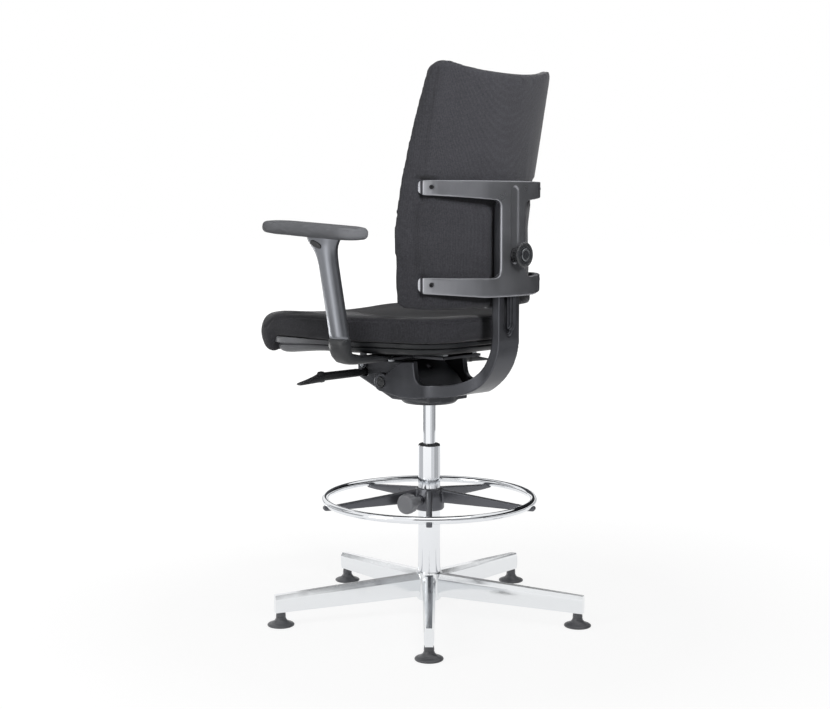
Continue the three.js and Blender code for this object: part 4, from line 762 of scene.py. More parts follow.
def face_ring(inset, share, turn):
    """The outline taken in by inset and laid on the front face, at share 0, or the rear face, at 1."""
    spot = pad_middle + (outline - pad_middle) * (1 - inset / SPAN)
    x, y = back_point(spot[:, 0], spot[:, 1], share)
    return np.stack([x, y + turn, spot[:, 1]], 1)


rings = [face_ring(inset, 0.0, rim_turn(inset, FRONT_ROLL)) for inset in INSETS]
for share in (0.45, 0.6):
    x, y = back_point(outline[:, 0], outline[:, 1], share)
    away = outline - pad_middle
    away /= np.linalg.norm(away, axis=1, keepdims=True)
    rings.append(np.stack([x + away[:, 0] * 1.5, y, outline[:, 1] + away[:, 1]], 1))
rings += [face_ring(inset, 1.0, -rim_turn(inset, REAR_ROLL)) for inset in reversed(INSETS)]
back_cover = even_mesh(skin("backrest_cover", rings), VOXEL, 3)
print("backrest skin", len(back_cover.data.vertices), "points")

# %% Backrest: arms pressed into the cloth
arm_low, arm_high = box_in_chassis("back_carrier")
ARM_THICK, ARM_DEPTH = 12, 134
ARM_REACH = arm_high.x - ARM_THICK / 2
ARM_MIDDLE = arm_high.y - ARM_THICK / 2 - ARM_DEPTH
ARM_BANDS = [(arm_low.z, arm_low.z + 42), (arm_high.z - 41, arm_high.z)]
CLOTH_BACK = 9  # mm above and below an arm, over which the cloth comes back to its place
ARM_STARTS = (11, 15.5)  # degrees round the ellipse, over which an arm starts to press


def pressed(flat, clearance):
    """How far to scale each point towards the arms' centre so that it clears them by that much."""
    x, y, z = flat[:, 0], flat[:, 1] - ARM_MIDDLE, flat[:, 2]
    a, b = ARM_REACH - ARM_THICK / 2 - clearance, ARM_DEPTH - ARM_THICK / 2 - clearance
    beyond = np.sqrt((x / a) ** 2 + (y / b) ** 2)
    turned = np.degrees(np.arctan2(y / b, np.abs(x) / a))
    under = np.zeros(len(flat))
    for low, high in ARM_BANDS:
        gap = np.maximum(np.maximum(low - z, z - high), 0)
        under = np.maximum(under, 1 - smooth(gap, 0, CLOTH_BACK))
    under *= smooth(turned, *ARM_STARTS)
    scale = np.where(beyond > 1, 1 / np.maximum(beyond, 1e-6), 1.0)
    return under * (1 - scale), under


def press_arms(piece, clearance):
    """Moves the cloth to just inside the arms, and tells how far each point lies under an arm."""
    flat = in_chassis(piece)
    pull, under = pressed(flat, clearance)
    flat[:, 0] -= flat[:, 0] * pull
    flat[:, 1] -= (flat[:, 1] - ARM_MIDDLE) * pull
    set_chassis(piece, flat)
    return under


under = press_arms(back_cover, 0.5)
flat = in_chassis(back_cover)
# The front face is free to swell. The rear face lies on the shell, and moves about a third as far.
REAR_FREEDOM = 0.35
_, middle_y = back_point(flat[:, 0], flat[:, 2], 0.5)
in_front = smooth(middle_y - flat[:, 1], -2, 12)
inflate(back_cover, 5 * MM, np.maximum(in_front, REAR_FREEDOM * (1 - under)))
refine(back_cover)
press_arms(back_cover, 0.4)
flat = in_chassis(back_cover)
# The front panel is sewn to the rear panel along the rim, at this share of the way back.
SEAM_BACK = 0.72
_, seam_y = back_point(flat[:, 0], flat[:, 2], SEAM_BACK)
near_rim = np.maximum.reduce([
    smooth(np.abs(flat[:, 0]) / back_half(flat[:, 2]), 0.80, 0.86),
    smooth(flat[:, 2], BACK_TOP - 50, BACK_TOP - 36),
    smooth(-flat[:, 2], -BACK_BOTTOM - 16, -BACK_BOTTOM - 8),
])
press(back_cover, np.where(near_rim > 0.5, flat[:, 1] - seam_y, FAR), width=4.5, depth=0.9 * MM)
put(back_cover, black_weave, "back_cushion", "back_panel")

# %% [markdown]
# ## Turned parts
# The column, the piston, the seals, the knobs, the glides and the ring are all round. A stock cylinder would
# do for a tube, but not for a knob with a waist, so each is one profile spun about its axis. A real edge is
# never a knife: every corner of a profile is first rounded to a small radius, and that thin round edge is
# what catches the light.

# %% Spin a profile
def soften(profile, radius, steps=4):
    """Rounds every corner of a closed profile, as far as its neighbours leave room."""
    made = []
    count = len(profile)
    for i in range(count):
        before, here, after = (np.array(profile[(i + k) % count], float) for k in (-1, 0, 1))
        into, out = before - here, after - here
        room = min(np.linalg.norm(into), np.linalg.norm(out)) / 2.2
        if here[0] == 0 or room < 1e-6:
            made.append(tuple(here))
            continue
        cut = min(radius, room)
        start = here + into / np.linalg.norm(into) * cut
        end = here + out / np.linalg.norm(out) * cut
        made += curve([start, here, end], steps)
    return made


def spin(name, profile, place, axis=(0, 0, 1), segments=96, radius=0.8, flutes=None):
    """A body turned from a closed profile of (radius, height) in mm, about an axis through a place."""
    line = soften(profile, radius) if radius else list(profile)
    turn = Vector((0, 0, 1)).rotation_difference(Vector(axis)).to_matrix()
    points, faces = [], []
    poles = [r < 1e-9 for r, _ in line]
    index = []
    for (r, z), pole in zip(line, poles):
        if pole:
            index.append([len(points)])
            points.append(Vector(place) + turn @ Vector((0, 0, z * MM)))
            continue
        row = []
        for k in range(segments):
            a = math.tau * k / segments
            wide = r - (flutes(r, z, a) if flutes else 0)
            row.append(len(points))
            points.append(Vector(place) + turn @ Vector((wide * math.cos(a), wide * math.sin(a), z)) * MM)
        index.append(row)
    for i in range(len(line)):
        a, b = index[i], index[(i + 1) % len(line)]
        if len(a) == 1 and len(b) == 1:
            continue
        for k in range(segments):
            n = (k + 1) % segments
            if len(a) == 1:
                faces.append((a[0], b[n], b[k]))
            elif len(b) == 1:
                faces.append((a[k], a[n], b[0]))
            else:
                faces.append((a[k], a[n], b[n], b[k]))
    made = new_mesh(name, points, faces)
    if radius:
        modify(made, "WEIGHTED_NORMAL", keep_sharp=True, weight=90)
    return made


AXIS = Vector((CHASSIS.x, CHASSIS.y, 0))


def height_of(node):
    """The foot and the top of a solid, in mm above the floor."""
    low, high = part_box(node)
    return low.z / MM, high.z / MM


print("column axis at", [round(v, 4) for v in AXIS])

# %% [markdown]
# The column is a chromed steel tube with a black guide bushing in its mouth. The piston of the gas spring
# slides in the bushing and ends in a cone that wedges into the mechanism.

# %% Column, seal and piston
tube_low, tube_high = height_of("column_tube")
TUBE, BORE, PISTON = 25, 22.5, 14  # radii
CONE_FOOT, CONE_TOP = 482, 540
column = spin("column_tube_bright", [
    (BORE, tube_low), (TUBE, tube_low), (TUBE, tube_high), (BORE, tube_high),
], AXIS, radius=1.0)
put(column, chrome_plate, "column_tube")
seal_low, seal_high = height_of("column_bushing")
seal = spin("column_seal", [
    (PISTON + 0.2, seal_low), (BORE - 0.3, seal_low), (BORE - 0.3, tube_high + 0.3),
    (TUBE - 0.6, tube_high + 0.3), (TUBE - 1.2, tube_high + 2.4), (TUBE - 4.5, seal_high),
    (PISTON + 1.6, seal_high), (PISTON + 0.2, seal_high - 1.2),
], AXIS, radius=0.6)
put(seal, dark_plastic, "column_bushing")
piston_foot, piston_top = height_of("gas_piston")
rod = spin("gas_spring_piston", [
    (0, piston_foot), (PISTON - 1, piston_foot), (PISTON, piston_foot + 1), (PISTON, CONE_FOOT),
    (PISTON - 1.2, CONE_TOP), (4, CONE_TOP), (4, piston_top), (0, piston_top),
], AXIS, radius=0.6)
put(rod, chrome_plate, "gas_piston")

# %% [markdown]
# The foot ring is a bent and welded tube, plated after welding. A torus with many sides is the same shape,
# and chrome needs many sides: it shows every facet as a broken reflection.

# %% Foot ring
ring_low, ring_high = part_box("foot_ring")
ring_z = (ring_low.z + ring_high.z) / 2 / MM
ring_tube = (ring_high.z - ring_low.z) / 2 / MM
ring_radius = (ring_high.x - ring_low.x) / 2 / MM - ring_tube
ring = spin("foot_ring_tube", [
    (ring_radius + ring_tube * math.cos(a), ring_z + ring_tube * math.sin(a))
    for a in np.linspace(0, math.tau, 28, endpoint=False)
], AXIS, segments=220, radius=0)
put(ring, chrome_plate, "foot_ring")

# %% [markdown]
# Five glides stand in for castors, so the high chair can't roll away. Each is a soft foot on a steel pin,
# with a broad sole, a sloping skirt and a short neck.

# %% Glides
for number in range(1, 6):
    low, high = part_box(f"glide_{number}")
    foot = (low + high) / 2
    foot.z = 0
    top = high.z / MM
    glide = spin(f"glide_foot_{number}", [
        (0, 0), (28, 0), (29.8, 1.4), (29.8, 3.6), (27.6, 5.4), (21, 7.6), (15.6, 10.6), (12.2, 14.6),
        (11, 18.2), (10.4, 18.8), (10.4, 20), (11, 20.6), (10.2, 29.6), (5, 29.7), (5, top - 0.8),
        (4.2, top), (0, top),
    ], foot, segments=72, radius=1.2)
    put(glide, knob_plastic, f"glide_{number}")

# %% [markdown]
# Both clamp knobs have shallow flutes for the fingers. The flutes are part of the turned shape: the radius
# dips a little as the profile goes round, more on the grip than on the face.

# %% Knobs
def wave(turns, power):
    """From 1 down to 0 and back up, in a rounder or sharper wave."""
    return (0.5 + 0.5 * math.cos(turns)) ** power


def fluted(count, depth, low, high):
    """Finger grooves between two heights of the profile, fading at both ends."""
    def dip(r, z, a):
        grip = float(smooth(z, low, low + 2) * (1 - smooth(z, high - 2, high)))
        return depth * grip * wave(count * a, 2)
    return dip


ring_knob_low, ring_knob_high = [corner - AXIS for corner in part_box("foot_ring_knob")]
KNOB_TURN = math.radians(6)
knob_axis = Vector((math.cos(KNOB_TURN), math.sin(KNOB_TURN), 0))
knob_height = (ring_knob_low.z + ring_knob_high.z) / 2
knob = spin("foot_ring_clamp_knob", [
    (4.3, 41), (9.5, 41), (9.5, 64), (17, 67), (21, 70), (22.4, 74), (22.4, 88), (21, 92), (18, 93.6),
    (16.4, 93.8), (15.6, 93.2), (0, 93.6), (0, 85), (4.3, 85),
], AXIS + Vector((0, 0, knob_height)), knob_axis, segments=120, radius=1.4,
    flutes=fluted(count=10, depth=1.3, low=69, high=90))
put(knob, grey_nylon, "foot_ring_knob")

back_knob_low, back_knob_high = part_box("back_knob")
KNOB_PROUD = 7  # the hand of the knob stands this much further out than its solid
reach = (back_knob_high.y - CHASSIS.y) / MM + KNOB_PROUD
face = (back_knob_low.y - CHASSIS.y) / MM
knob_place = Vector((CHASSIS.x, CHASSIS.y, (back_knob_low.z + back_knob_high.z) / 2))


def hand_flutes(r, z, a):
    """Eight grooves along the stem, and fine notches round the rim."""
    if r < 14.5 and z < reach - 7:
        return 0.9 * wave(8 * a, 2)
    return 0.7 * wave(24 * a, 3) if r > 25 and z < reach - 1 else 0


hand = spin("back_height_knob", [(4.3, face), (14, face), (13.2, face + 2)] + [(r, reach + z) for r, z in (
    (13.2, -9.5), (15, -8.3), (25.4, -8), (27, -6.4), (27, -3.6), (24.6, -1.4), (22.4, -0.9), (20.4, -4.6),
    (14.8, -4.8), (13.4, -0.5), (10.6, -0.1), (9.4, -1.5), (0, -1.7), (0, -8), (4.3, -8),
)], knob_place, (0, 1, 0), segments=144, radius=0.7, flutes=hand_flutes)
put(hand, glossy_black, "back_knob")
# A bright zinc ring on the face of the knob is a painted highlight: it stands in for the glint of the lamps
# on the knob's polished rings. It stands for no solid, so it only rides along.
knob_glint_ring = spin("back_knob_painted_glint_ring", [(r, reach + z) for r, z in (
    (10.4, -2), (10.4, 0.2), (11.2, 0.5), (12.8, 0.3), (13.5, -0.4), (13.5, -2),
)], knob_place, (0, 1, 0), radius=0.2)
knob_glint_ring.data.materials.append(zinc_plate)
smooth_faces(knob_glint_ring)
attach(knob_glint_ring, body_of["back_knob"])

# %% [markdown]
# The arms of the carrier are held by socket screws in black oxide. Only the rim of the head and the dark
# socket show. The main pivot ends in a moulded cap with a raised ring and a dot in its middle. Both are
# round, so both are spun, each about the axis that its hole has.

# %% Socket screws and pivot caps
SCREW_OUT = (0.826, 0.564)  # the way that the screws of the left arms point: out, and back
for side, out in SIDES:
    for number in (1, 2):
        node = f"carrier_screw_{side}_{number}"
        low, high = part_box(node)
        screw = spin(f"socket_screw_{side}_{number}", [
            (0, -14), (2.4, -14), (2.4, 8), (4.5, 8), (4.5, 12.9), (4.0, 13.3), (2.7, 13.3), (2.6, 9.5),
            (0, 9),
        ], (low + high) / 2, (out * SCREW_OUT[0], SCREW_OUT[1], 0), segments=48, radius=0.4)
        put(screw, black_oxide, node)
    low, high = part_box(f"pivot_cap_{side}")
    centre = (low + high) / 2
    centre.x = low.x if side == "left" else high.x
    cap = spin(f"pivot_cap_ring_{side}", [
        (0, 0), (12, 0), (12, 3.6), (11, 4.9), (9.4, 4.9), (8.6, 3.4), (4.6, 3.4), (4, 4.6), (0, 4.8),
    ], centre, (out, 0, 0), segments=64, radius=0.5)
    put(cap, dark_plastic, f"pivot_cap_{side}")

# %% [markdown]
# ## Castings and mouldings
# The carrier, the fork, the hub of the ring and the housing come out of moulds. Their corners are round
# inside and out, because metal won't fill or leave a sharp one. Rebuilding the solid's own shape as an even
# fine mesh and rubbing it smooth gives just that: all edges turn soft together, even where three meet. A
# bevel could not follow the curved crossings.

# %% Cast copy
CAST_VOXEL = 1.5


def cutter(name, outline, y0, y1):
    """A bar with this outline (x, z) that reaches from y0 to y1, to cut a slot or a window with."""
    bar = skin(name, [[(x, y, z) for x, z in outline] for y in (y0, y1)])
    bar.hide_render = True
    return bar


def round_ended(half, low, high):
    """The outline of a slot: straight sides and round ends."""
    return arc(0, high - half, half, 0, 180, 24) + arc(0, low + half, half, 180, 360, 24)


def cast_copy(node, name, voxel, rounds, cuts=()):
    """The solid's own shape, with recesses cut in and every edge rubbed round."""
    piece = copy_of(node, name)
    for cut in cuts:
        modify(piece, "BOOLEAN", object=cut, operation="DIFFERENCE", solver="EXACT")
    settle(piece)
    for cut in cuts:
        bpy.data.objects.remove(cut, do_unlink=True)
    even_mesh(piece, voxel * MM, rounds)
    print(f"{name}: {len(piece.data.vertices)} points at {voxel} mm")
    return piece


print("castings get a point every", CAST_VOXEL, "mm")

# %% [markdown]
# The carrier holds the backrest: a column behind, and two arms that reach round to the front. The arm tips
# are rounded below and thinned from outside, so nothing catches on them. A shallow track with a round top
# runs down the column to the knob. The recesses are cut before the edges are rubbed round, as in a mould.

# %% Back carrier: recesses
PAST = 4  # a cutter starts this much outside the metal
TRACK, TRACK_DEEP = (12, 320, 482), 3.4  # half width, foot and top; depth
COLUMN_HALF, WINDOW_OUT = 34.5, 80  # a window reaches from the column's side to this far out
WINDOW_FRONT, WINDOW_REAR = 190, 11  # where it starts, and how far from the rear face it ends
column_rear = arm_high.y
cuts = [cutter("track", round_ended(*TRACK), column_rear - TRACK_DEEP, column_rear + PAST)]
z0, z1 = ARM_BANDS[0][1] + 6, ARM_BANDS[1][0] - 6
for side, (x0, x1) in (("left", (COLUMN_HALF, WINDOW_OUT)), ("right", (-WINDOW_OUT, -COLUMN_HALF))):
    corners = [(x0, z0), (x1, z0), (x1, z1), (x0, z1)]
    cuts.append(cutter(f"{side}_window", corners, WINDOW_FRONT, column_rear - WINDOW_REAR))
carrier = cast_copy("back_carrier", "backrest_carrier", CAST_VOXEL, rounds=6, cuts=cuts)

# %% Back carrier: arm tips
TIP_TURN = 12.5  # where an arm ends, in degrees round its ellipse
ARM_BOW = 140  # mm along an arm for each radian of that turn, near its tip
LOWER_ROUND, UPPER_ROUND = 20, 9
flat = in_chassis(carrier)
a, b = ARM_REACH, ARM_DEPTH
turned = np.degrees(np.arctan2((flat[:, 1] - ARM_MIDDLE) / b, np.abs(flat[:, 0]) / a))
from_tip = (turned - TIP_TURN) * math.radians(1) * ARM_BOW


def corner_cut(radius):
    """How much height a round corner takes off an arm, by the distance from the tip."""
    left = np.clip(radius - np.clip(from_tip, 0, None), 0, None)
    return radius - np.sqrt(np.clip(radius ** 2 - left ** 2, 0, None))


for low, high in ARM_BANDS:
    band = (flat[:, 2] > low - 3) & (flat[:, 2] < high + 3)
    part = (flat[:, 2] - (low + high) / 2) / ((high - low) / 2)
    flat[:, 2] += np.where(band & (part < 0), -part * corner_cut(LOWER_ROUND), 0)
    flat[:, 2] -= np.where(band & (part > 0), part * corner_cut(UPPER_ROUND), 0)
# The tip is thinned from outside over its last 16 mm.
beyond = np.sqrt((flat[:, 0] / a) ** 2 + ((flat[:, 1] - ARM_MIDDLE) / b) ** 2)
thin = (1 - smooth(from_tip, 4, 17)) * np.clip(beyond - 1, 0, None) * 0.8
flat[:, 0] *= 1 - thin
flat[:, 1] = ARM_MIDDLE + (flat[:, 1] - ARM_MIDDLE) * (1 - thin)
set_chassis(carrier, flat)
put(carrier, graphite_coat, "back_carrier")

# %% [markdown]
# The fork carries the backrest: it starts at the two pivots, joins under the seat, and bends up into a spine
# with a long slot. The slot has a wide shallow rim and a deeper well, where the knob's bolt runs. The solid
# draws the bends with a few straight chords, and a coat shows each as a flat facet. Rubbing them away would
# also melt the slot, so each point is moved out to the true curve instead.

# %% Back fork
fork_rear = box_in_chassis("back_fork")[1].y
# Half width, foot and top of the slot's rim and of its well, and their depths.
SLOT_RIM, SLOT_WELL = (20, 174, 447), (15, 179, 442)
RIM_DEEP, WELL_DEEP = 2.4, 9
fork = cast_copy("back_fork", "back_fork_casting", CAST_VOXEL, rounds=3, cuts=[
    cutter("slot_rim", round_ended(*SLOT_RIM), fork_rear - RIM_DEEP, fork_rear + PAST),
    cutter("slot_well", round_ended(*SLOT_WELL), fork_rear - WELL_DEEP, fork_rear + PAST),
])
# Above the lower arm the spine is a little slimmer, which leaves a dark gap beside the carrier's column.
SPINE_SLIMMED, SLIM_FROM, SLIM_FULL = 0.16, 258, 285
flat = in_chassis(fork)
flat[:, 0] *= 1 - SPINE_SLIMMED * smooth(flat[:, 2], SLIM_FROM, SLIM_FULL)
# From above, each side of the fork is a Bezier curve (half width, y), which the solid draws in 6 chords.
side_curve = [(90, 55), (90, 120), (34, 120), (34, 190)]
true_x, true_y = np.array(curve(side_curve, 200)).T
chord_x, chord_y = np.array(curve(side_curve, 7)).T
flat[:, 0] *= np.interp(flat[:, 1], true_y, true_x) / np.interp(flat[:, 1], chord_y, chord_x)
# From the side, the outer and the inner bend are arcs of 7.5 degree chords.
CHORD_TURN = 7.5
BENDS = ((96.5, 162, 132), (98, 167, 110))  # centre y, centre z and radius
MOVED, STILL = 2, 8  # points closer to the bend than the first move fully, beyond the second not at all
for centre_y, centre_z, radius in BENDS:
    arm = flat[:, 1:] - np.array([centre_y, centre_z])
    far = np.linalg.norm(arm, axis=1)
    turn = np.degrees(np.arctan2(arm[:, 1], arm[:, 0]))
    on_curve = (1 - smooth(np.abs(far - radius), MOVED, STILL)) * ((turn > -90) & (turn < 0))
    from_middle = np.radians(turn % CHORD_TURN - CHORD_TURN / 2)
    slack = np.cos(from_middle) / math.cos(math.radians(CHORD_TURN / 2)) - 1
    flat[:, 1:] += arm * (slack * on_curve)[:, None]
set_chassis(fork, flat)
put(fork, fork_coat, "back_fork")

# %% [markdown]
# The hub of the foot ring and the housing of the mechanism are castings whose solids already have the
# shape. They only need their edges rubbed round, so both are plain cast copies.

# %% Hub of the foot ring, and mechanism housing
hub = cast_copy("foot_ring_hub", "foot_ring_spider", CAST_VOXEL, rounds=5)
put(hub, spider_coat, "foot_ring_hub")
housing = cast_copy("mechanism_housing", "mechanism_casting", CAST_VOXEL, rounds=3)
put(housing, black_casting, "mechanism_housing")

# %% [markdown]
# Each armrest is a pad on a slim post that slides over a hidden tongue, and an elbow of black plastic joins
# it to the seat frame. The post is oval, so light runs down it in one soft band, and it flares at its top
# into the seat of the pad. An oval button sits in the flare. The pad is flat on top with a full round edge.
# No bar of one section could do this, so an oval is stretched along a path and changes on its way.

# %% Oval sections along a path
def oval(centre, across, along, wide, deep, power=2.6, count=56):
    """A ring of points in the chassis frame: a rounded oval between an ellipse and a box."""
    turns = np.linspace(0, math.tau, count, endpoint=False)
    c, s = np.cos(turns), np.sin(turns)
    grow = (np.abs(c) ** power + np.abs(s) ** power) ** (-1 / power)
    return np.array(centre) + np.outer(c * grow * wide, across) + np.outer(s * grow * deep, along)


POST_X, POST_Y, POST_FOOT = 262, -17.2, 162.4
LEAN = -0.207  # how far the post runs to the front for each millimetre that it rises


def post_y(z):
    """Where the middle of the leaning post lies at this height."""
    return POST_Y + (z - POST_FOOT) * LEAN


# %% Armrest posts, elbows, buttons and pads
X_AXIS, Y_AXIS, Z_AXIS = np.eye(3)
# Height, half width fore and aft, half thickness, and how far the middle moves to the front.
POST = [
    (162.4, 23.8, 15, 0), (163.4, 25, 16.6, 0), (170, 25.2, 16.8, 0), (220, 25, 16.8, 0),
    (280, 24.8, 16.8, 0), (315, 25, 16.8, 0), (330, 26.4, 17, 0.6), (341, 28.8, 17.2, 1.6),
    (350, 32.4, 17.6, 3), (358, 37.4, 18, 4.4), (364, 42, 18.2, 4.6), (369, 45.4, 18.9, 4),
    (374, 47, 19.2, 3), (377.6, 47.2, 19.2, 2.4),
]
TONGUE = [(281, 19, 7.2), (280, 20.6, 8.6), (270, 21, 8.7), (162.2, 21, 8.7)]
# Middle of the elbow (x, z), half width fore and aft, half thickness across the path.
ELBOW = [
    ((262, 162.2), 24, 15), ((262, 161.4), 25.4, 16.8), ((262, 150), 25.2, 16.8), ((261.2, 141), 25, 16.2),
    ((257.5, 131), 24.6, 14.8), ((250, 122.5), 24, 13.6), ((239, 118.6), 23.6, 12.2),
    ((226, 117), 23.4, 11.4), ((206, 114.8), 23.2, 9), ((170, 114), 23, 8), ((142, 114.4), 23, 7.6),
    ((134, 117.5), 22.8, 4.2),
    ((128, 119), 22.8, 2.6), ((100, 119), 22.6, 2.5),
]
# Distance out and take-in of the button's face, which is domed and dished.
BUTTON = [(270.5, 0), (280.2, 0), (281.6, 0.5), (282.1, 1.6), (281.4, 3.4), (281.1, 5)]
BUTTON_HALF, BUTTON_HIGH, BUTTON_FORE = 17, 6.4, 4
for side, out in SIDES:
    mirror = np.array([out, 1, 1])
    sleeve = skin(f"arm_post_{side}", [
        oval(np.array([POST_X, post_y(z) - shift, z]) * mirror, X_AXIS, Y_AXIS, thick, half, power=2.1)
        for z, half, thick, shift in POST
    ])
    put(sleeve, silver_lacquer, f"arm_sleeve_{side}")
    rings = [
        oval(np.array([POST_X, post_y(z), z]) * mirror, X_AXIS, Y_AXIS, thick, half, power=5)
        for z, half, thick in TONGUE
    ]
    path = np.array([spot for spot, _, _ in ELBOW])
    heading = np.gradient(path, axis=0)
    heading[:3] = (0, -1)
    for (x, z), (dx, dz), (_, half, thick) in zip(path, heading, ELBOW):
        across = np.array([-dz, 0, dx]) / math.hypot(dx, dz)
        spot = np.array([x, POST_Y, z])
        rings.append(oval(spot * mirror, across * mirror, Y_AXIS, thick, half, power=3))
    put(skin(f"arm_elbow_{side}", rings), dark_plastic, f"arm_bracket_{side}")
    low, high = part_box(f"arm_button_{side}")
    button_y, button_z = [v / MM for v in ((low + high) / 2 - CHASSIS)[1:]]
    slant, upright = np.array([0, 0.94, -0.34]), np.array([0, 0.34, 0.94])
    button = skin(f"arm_button_cap_{side}", [
        oval(np.array([x, button_y - BUTTON_FORE, button_z]) * mirror, slant, upright,
             BUTTON_HALF - rub, BUTTON_HIGH - rub)
        for x, rub in BUTTON
    ])
    put(button, dark_plastic, f"arm_button_{side}")
    pad = cast_copy(f"arm_pad_{side}", f"arm_pad_skin_{side}", voxel=3.0, rounds=10)
    inflate(pad, 1.5 * MM, np.ones(len(pad.data.vertices)), pressure=2.0)
    refine(pad)
    put(pad, pad_skin, f"arm_pad_{side}")

# %% [markdown]
# The two levers are flat bars with a paddle at the end. The paddle starts with a step, where the fingers
# stop, and thins to its tip. They are moulded in one tool, so both sides share their sections.

# %% Levers and paddles
BAR = [(52.5, 6, 4.5), (54, 8, 5.8), (76, 8.2, 5.9), (90, 8.6, 8.8), (198, 8.6, 9), (200.6, 8, 8.4)]
# Distance out, drop of the middle, half width, half thickness.
PADDLE = [
    (197.5, 0.6, 8.8, 9), (199, 0, 10, 12), (205, 0.4, 10.2, 12), (208.5, 2.4, 10, 9.2), (222, 4.8, 9.6, 7),
    (240, 7.4, 9.2, 5), (258, 9.6, 8.6, 3.4), (267, 10.6, 7.6, 2.6), (269.4, 10.9, 6, 1.6),
]
# Side, which way is out, distance back and height of each lever.
LEVERS = (("left", 1, -138, 67.5), ("right", -1, -56, 87))
for side, out, back, height in LEVERS:
    bar = skin(f"{side}_lever_bar", [
        oval((out * x, back, height), Y_AXIS, Z_AXIS, half, thick, power=4) for x, half, thick in BAR
    ])
    put(bar, dark_plastic, f"{side}_lever")
    paddle = skin(f"{side}_lever_grip", [
        oval((out * x, back, height - sag), Y_AXIS, Z_AXIS, half, thick, power=3.4)
        for x, sag, half, thick in PADDLE
    ])
    put(paddle, dark_plastic, f"{side}_lever_paddle")

# %% [markdown]
# ## Dress the remaining solids
# Machined and moulded parts whose shape is already right keep their solid. A weld joins its facets, a small
# bevel breaks every sharp edge, because no cast or moulded edge is a knife, and weighted normals keep the
# flat faces flat.

# %% Bevel and finish the solids that stay
def dress(node, material, bevel=0.8, segments=2, angle=28):
    """Gives a solid its finish and breaks its edges."""
    part = frame["nodes"][node]
    part.data.materials[0] = material
    smooth_faces(part)
    if part.data.has_custom_normals:
        with bpy.context.temp_override(object=part, active_object=part, mesh=part.data):
            bpy.ops.mesh.customdata_custom_splitnormals_clear()
    modify(part, "WELD", merge_threshold=0.01 * MM)
    modify(part, "BEVEL", width=bevel * MM, segments=segments, limit_method="ANGLE",
           angle_limit=math.radians(angle), harden_normals=False, use_clamp_overlap=True)
    modify(part, "WEIGHTED_NORMAL", keep_sharp=True, weight=80)


finishes = {
    "polished_aluminium": polished_aluminium, "chrome": chrome_plate, "graphite_coat": graphite_coat,
    "cast_black": black_casting, "zinc_steel": zinc_plate, "dark_plastic": dark_plastic,
    "pan_plastic": pan_plastic, "silver_coat": silver_lacquer, "soft_pad": pad_skin,
    "black_fabric": black_weave,
}
kept = sorted(set(frame["nodes"]) - hidden)
for node in kept:
    dress(node, finishes[slot_of[node]])
print("dressed", len(kept))

# %% [markdown]
# ## Room and light
# A product like this is lit by a white room: a bright sky overhead, a pale floor that bounces light up, and
# grey cards that give the chrome something darker to mirror. A painted backdrop would need a strong lamp of
# its own. Here camera, glossy and transmission rays see the room as plain white, while diffuse surfaces are
# lit by a dimmer sky and four soft boxes, so the light on the chair stays level.

# %% White sky and floor
def seen_in(tree, *kinds):
    """1 where one of these kinds of ray looks at the surface, and 0 elsewhere."""
    rays = add_node(tree, "LightPath")
    seen = rays.outputs[kinds[0]]
    for kind in kinds[1:]:
        seen = add_node(tree, "Math", {0: seen, 1: rays.outputs[kind]}, operation="MAXIMUM").outputs[0]
    return seen


WHITE = linear("#ffffff")
SKY_STRENGTH = 0.3
world = bpy.data.worlds.new("white_room")
bpy.context.scene.world = world
world.use_nodes = True
sky = world.node_tree
sky.nodes.clear()
both = add_node(sky, "MixShader", {
    0: seen_in(sky, "Is Camera Ray", "Is Glossy Ray", "Is Transmission Ray"),
    1: add_node(sky, "Background", {"Color": WHITE, "Strength": SKY_STRENGTH}),
    2: add_node(sky, "Background", {"Color": WHITE, "Strength": 1.0}),
})
add_node(sky, "OutputWorld", {"Surface": both})

FLOOR_REACH = 30
floor = new_mesh("studio_floor", [
    (-FLOOR_REACH, -FLOOR_REACH, 0), (FLOOR_REACH, -FLOOR_REACH, 0),
    (FLOOR_REACH, FLOOR_REACH, 0), (-FLOOR_REACH, FLOOR_REACH, 0),
], [(0, 1, 2, 3)])
floor_paint, tree, shader = start_finish("white_floor_paint", "#ffffff", 0.9)
# A glow fills the paint up to white, less close by than far off, where the lamps no longer reach.
GLOW_NEAR, GLOW_FAR = 0.74, 1.0
GLOW_STARTS, GLOW_FULL = 0.6, 2.4  # metres from the column
GLOW_STRENGTH = 1.13
place = add_node(tree, "TexCoord").outputs["Object"]
fill = add_node(tree, "MapRange", {
    "Value": add_node(tree, "VectorMath", {0: place}, operation="LENGTH").outputs["Value"],
    "From Min": GLOW_STARTS, "From Max": GLOW_FULL, "To Min": GLOW_NEAR, "To Max": GLOW_FAR,
})
share = add_node(tree, "Math", {
    0: seen_in(tree, "Is Camera Ray", "Is Glossy Ray"), 1: fill,
}, operation="MULTIPLY")
glow = add_node(tree, "Emission", {"Color": WHITE, "Strength": GLOW_STRENGTH})
filled = add_node(tree, "MixShader", {0: share, 1: shader, 2: glow})
plug(tree.nodes["Material Output"], {"Surface": filled})
floor.data.materials.append(floor_paint)
print("floor", 2 * FLOOR_REACH, "m across")

# %% [markdown]
# Four soft boxes shape the chair: one overhead, one at the side, one low in front, and one that only lights
# the cloth of the back, because a mirror of it in the coat would hide the carrier's shape.

# %% Soft boxes
def soft_lamp(name, place, aim, width, height, power, spread=180):
    """A rectangular soft box that points at a spot, with a grid over it when the spread is small."""
    box = bpy.data.lights.new(name, "AREA")
    box.shape = "RECTANGLE"
    box.spread = math.radians(spread)
    box.size, box.size_y, box.energy = width, height, power
    lamp = bpy.data.objects.new(name, box)
    lamp.location = place
    lamp.rotation_euler = (Vector(aim) - Vector(place)).to_track_quat("-Z", "Y").to_euler()
    bpy.context.scene.collection.objects.link(lamp)
    return lamp


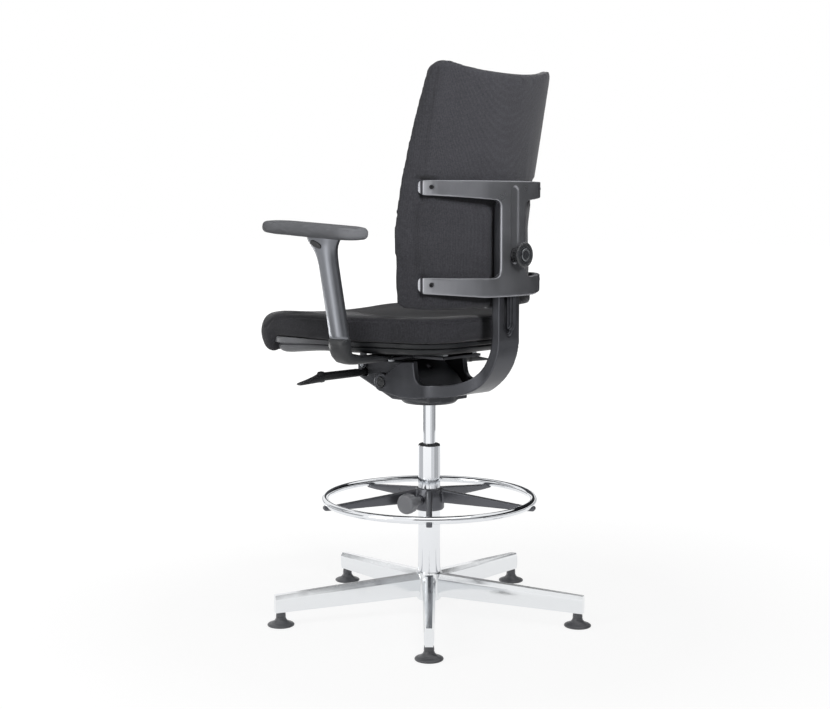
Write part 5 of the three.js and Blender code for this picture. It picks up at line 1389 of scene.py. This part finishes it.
# Place, aim, width, height and power in watts.
LAMP_AIM = (0, 0, 0.6)
soft_lamp("top_box", (0.3, 0.6, 3.2), LAMP_AIM, 2.4, 2.4, 14)
soft_lamp("side_box", (2.45, -0.45, 1.25), LAMP_AIM, 0.9, 2.0, 12)
soft_lamp("low_front_box", (0.5, -2.7, 0.2), (0, -0.1, 0.6), 1.2, 0.4, 16)
cloth_lamp = soft_lamp("back_box", (1.1, 2.7, 1.9), (0, 0.2, 1.2), 0.8, 0.8, 8, spread=30)
cloth_lamp.visible_glossy = False

# %% [markdown]
# Chrome in a white room would be white all over. Grey cards stand round the chair, close enough for the
# upright metal to mirror them above the floor. A card's height decides which parts mirror it, so they come
# in bands: pale ones near the floor for the column and the base, darker ones for the piston, one dark card
# for the side of the mechanism, and the darkest for the coats above. A curtain far off draws the thin dark
# line along level tubes.

# %% Grey cards
def mirror_card(name, azimuth, distance, width, low, high, tone):
    """A standing card that only mirrors see: it darkens what the metal reflects and lights nothing."""
    turn = math.radians(azimuth)
    away = Vector((math.sin(turn), -math.cos(turn), 0)) * distance
    along = Vector((math.cos(turn), math.sin(turn), 0)) * width / 2
    card = new_mesh(name, [
        away - along + Vector((0, 0, low)), away + along + Vector((0, 0, low)),
        away + along + Vector((0, 0, high)), away - along + Vector((0, 0, high)),
    ], [(0, 1, 2, 3)])
    paper, tree, _ = start_finish(name, tone, 1.0)
    glow = add_node(tree, "Emission", {"Color": linear(tone), "Strength": 1.0})
    plug(tree.nodes["Material Output"], {"Surface": glow})
    card.data.materials.append(paper)
    card.visible_camera = card.visible_diffuse = card.visible_shadow = False


CARD_DISTANCE, CARD_WIDTH = 1.35, 0.74
# Name, foot and top of each band, and the direction and tone of its cards.
CARD_BANDS = [
    ("low", 0, 0.2, [
        (20, "#c8c9cb"), (51, "#c6c7c9"), (167, "#dcdddf"), (199, "#b2b3b5"), (230, "#b6b7b9"),
        (275, "#d4d5d7"),
    ]),
    ("piston", 0.2, 0.36, [
        (350, "#a2a3a5"), (20, "#8e8f91"), (51, "#c6c7c9"), (167, "#dcdddf"), (199, "#b2b3b5"),
        (230, "#a6a7a9"), (260, "#8e8f91"), (290, "#8e8f91"),
    ]),
    ("side", 0.36, 0.56, [(51, "#3a3b3d")]),
    ("high", 0.49, 1.35, [
        (20, "#a8a9ab"), (167, "#98999b"), (197, "#47484a"), (227, "#1e1f21"), (257, "#1e1f21"),
        (287, "#262729"), (317, "#4a4b4e"),
    ]),
]
for kind, low, high, cards in CARD_BANDS:
    for number, (azimuth, tone) in enumerate(cards):
        mirror_card(f"{kind}_card_{number}", azimuth, CARD_DISTANCE, CARD_WIDTH, low, high, tone)
for number, azimuth in enumerate((135, 172)):
    mirror_card(f"curtain_{number}", azimuth, distance=3.5, width=2.4, low=0.62, high=2.7, tone="#45464a")
print("cards", sum(len(cards) for _, _, _, cards in CARD_BANDS))
